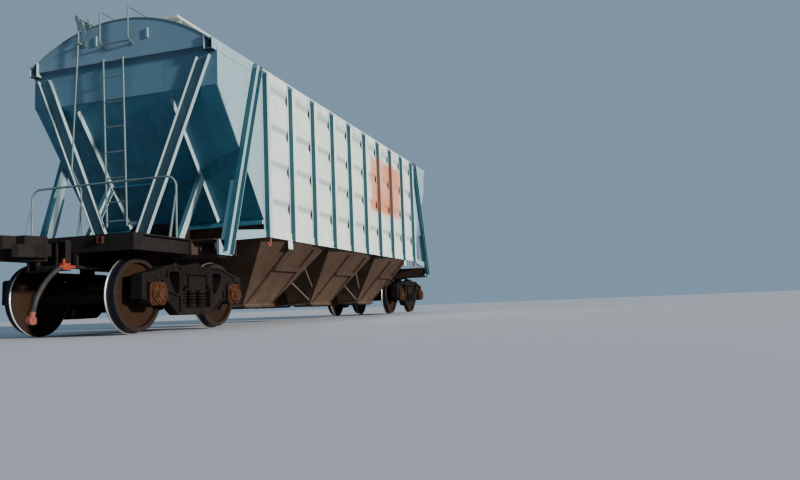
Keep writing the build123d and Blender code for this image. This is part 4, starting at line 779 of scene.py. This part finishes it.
# %% Flanges and beads of both sides
BEAD_Y = 1.579
BEAD_RUNS = ((1.370, 1.785), (2.011, 2.405), (2.631, 3.005), (3.231, 3.625), (3.851, 4.020))
EAVES_X, EAVES_Z = 5.40, 3.888
for side_name, side in (("right", -1), ("left", 1)):
    y = side * BEAD_Y
    beads = []
    for x in POST_X:
        for edge in (-1, 1):
            foot = x + edge * (POST_EDGE + STRIP_W)
            beads += [weld((foot, y, low), (foot, y, high), 0.005, 0.035) for low, high in BEAD_RUNS]
            beads.append(post_flange(x, side, edge))
    beads.append(weld((-EAVES_X, y, EAVES_Z), (EAVES_X, y, EAVES_Z), 0.006, 0.06))
    dress(joined("side_welds_" + side_name, beads), "wagon_body", "body_paint", smooth=70)

# %% [markdown]
# ## Roof seams and the gable's bead
# The roof is made of rolled sheets with a lap strip over each joint, and a round bead runs along the
# arch at both ends. Both follow the roof's curve. The Spin tool does that with no measuring: a small
# rectangle or a ring is placed at one end of the arch, and is swept about the roof's centre line.

# %% Sweep over the roof
ROOF_R, ROOF_CENTRE_Z = 2.550, 1.980 + FLANGE
ROOF_HALF_WIDTH = 1.53
ROOF_HALF_ANGLE = math.asin(ROOF_HALF_WIDTH / ROOF_R)


def swept_over_roof(piece, steps):
    """Sweep a piece over the roof, from one edge to the other."""
    start_edit(piece)
    bpy.ops.mesh.spin(steps=steps, angle=2 * ROOF_HALF_ANGLE, center=(0, 0, ROOF_CENTRE_Z), axis=(1, 0, 0))
    bpy.ops.object.mode_set(mode="OBJECT")
    return close_up(piece)


def on_arch(x, radius):
    """Matrix that stands a piece at one end of the roof's arch, with its +Z away from the centre line."""
    return (Matrix.Translation((x, 0, ROOF_CENTRE_Z)) @ Matrix.Rotation(ROOF_HALF_ANGLE, 4, "X")
            @ Matrix.Translation((0, 0, radius)))


# %% Lap strips and beads
LAP_W, LAP_T = 0.055, 0.008
LAP_X = (-4.95, -3.30, -2.05, -0.70, 0.70, 2.05, 3.30, 4.95)
ARCH_BEAD_R = 0.011
ARCH_BEAD_SUNK = 0.006
GABLE_X = 5.503


def lap_strip(x):
    """Flat strip across the roof."""
    bpy.ops.mesh.primitive_plane_add(size=1, location=(0, 0, 0))
    strip = added("lap_strip")
    strip.data.transform(Matrix.Rotation(math.pi / 2, 4, "X"))
    strip.data.transform(Matrix.Diagonal((LAP_W, 1, LAP_T, 1)))
    strip.data.transform(on_arch(x, ROOF_R))
    return swept_over_roof(strip, steps=28)


def arch_bead(x):
    """Round bead along the gable's arch."""
    bead = hoop("arch_bead", 8, ARCH_BEAD_R)
    bead.data.transform(Matrix.Rotation(math.pi / 2, 4, "X"))
    bead.data.transform(on_arch(x, ROOF_R - ARCH_BEAD_SUNK))
    return swept_over_roof(bead, steps=40)


dress(joined("roof_lap_strips", [lap_strip(x) for x in LAP_X]), "wagon_body", "roof_paint", smooth=30)
arch_beads = [arch_bead(sign * GABLE_X) for end, sign in ENDS]
dress(joined("gable_beads", arch_beads), "wagon_body", "fittings_paint", smooth=60)

# %% [markdown]
# ## Hatch handles
# Each round lid is lifted by a bent bar welded across its top. The bar starts as a ring standing on the
# lid, is pulled up, spun through a quarter turn, pulled along, and the other half is its mirror image.


# %% Bent handle
def lid_handle():
    """Handle of bent bar, standing on the origin, 0.22 m long along X."""
    bar, bend, reach, rise = 0.008, 0.022, 0.088, 0.024
    handle = settle(hoop("handle", 10, bar, place=(-reach - bend, 0, 0)))
    start_edit(handle)
    bpy.ops.mesh.extrude_region_move(TRANSFORM_OT_translate={"value": (0, 0, rise)})
    bpy.ops.mesh.spin(steps=6, angle=math.pi / 2, center=(-reach, 0, rise), axis=(0, 1, 0))
    bpy.ops.mesh.extrude_region_move(TRANSFORM_OT_translate={"value": (reach, 0, 0)})
    bpy.ops.object.mode_set(mode="OBJECT")
    mirror = handle.modifiers.new("other_half", "MIRROR")
    mirror.use_axis = (True, False, False)
    mirror.use_clip = True
    mirror.merge_threshold = 0.0002
    return close_up(settle(handle))


# %% Handles on the lids
HATCH_PITCH = 2.7
LID_TOP = 4.665 + FLANGE
HANDLE_Y = 0.04
HANDLE_SUNK = 0.004
for index in range(4):
    place = Matrix.Translation(((index - 1.5) * HATCH_PITCH, HANDLE_Y, LID_TOP - HANDLE_SUNK))
    handle = copies(f"lid_handle_{index + 1}", lid_handle(), [place])
    dress(handle, f"hatch_lid_{index + 1}", "fittings_paint", smooth=60)

# %% [markdown]
# ## Walkway bolts
# The walkway's planks are bolted to each bracket. The bolt is the one from the axle boxes in a smaller
# size, turned a little further at each bracket, as hand-tightened bolts are never in line.

# %% Walkway bolts
WALKWAY_END_X, WALKWAY_TOP = 5.25, 4.520 + FLANGE
PLANK_Y = (-0.86, -0.75, -0.64)
BRACKETS = 9
places = []
for index in range(BRACKETS):
    x = -WALKWAY_END_X + index * 2 * WALKWAY_END_X / (BRACKETS - 1)
    places += [facing((x, y, WALKWAY_TOP), (0, 0, 1), spin=index) for y in PLANK_Y]
dress(copies("walkway_bolts", bolt(0.012), places), "wagon_body", "fittings_paint")

# %% [markdown]
# ## The brake hoses
# A rubber hose leaves the cock's nozzle at each end and hangs by its own weight, with a metal coupling
# on its free end. A NURBS curve guided by a few control points hangs more naturally than straight runs
# joined by arcs, so the curve replaces the CAD tube and follows the same route.

# %% Hanging hoses
COCK_X, HOSE_Y, HOSE_Z = 6.94, -0.355, 0.835 + FLANGE
HOSE_R = 0.027
HANG = ((0.050, 0.018), (0.150, 0.078), (0.260, 0.178), (0.352, 0.296), (0.420, 0.420), (0.452, 0.540))
for end, sign in ENDS:
    route = [(sign * (COCK_X + out), -sign * HOSE_Y, HOSE_Z - drop) for out, drop in HANG]
    curve = bpy.data.curves.new("brake_hose_" + end + "_line", "CURVE")
    curve.dimensions = "3D"
    spline = curve.splines.new("NURBS")
    spline.points.add(len(route) - 1)
    for point, place in zip(spline.points, route):
        point.co = (*place, 1)
    spline.order_u = 3
    spline.use_endpoint_u = True
    spline.resolution_u = 12
    curve.bevel_depth = HOSE_R
    curve.bevel_resolution = 6
    curve.use_fill_caps = True
    hose = bpy.data.objects.new("rubber_hose_" + end, curve)
    bpy.context.scene.collection.objects.link(hose)
    curve.materials.append(finishes["hose_rubber"])
    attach(hose, "wagon_body")
    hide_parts("brake_hose_" + end)
    print(hose.name, "control points", len(route))
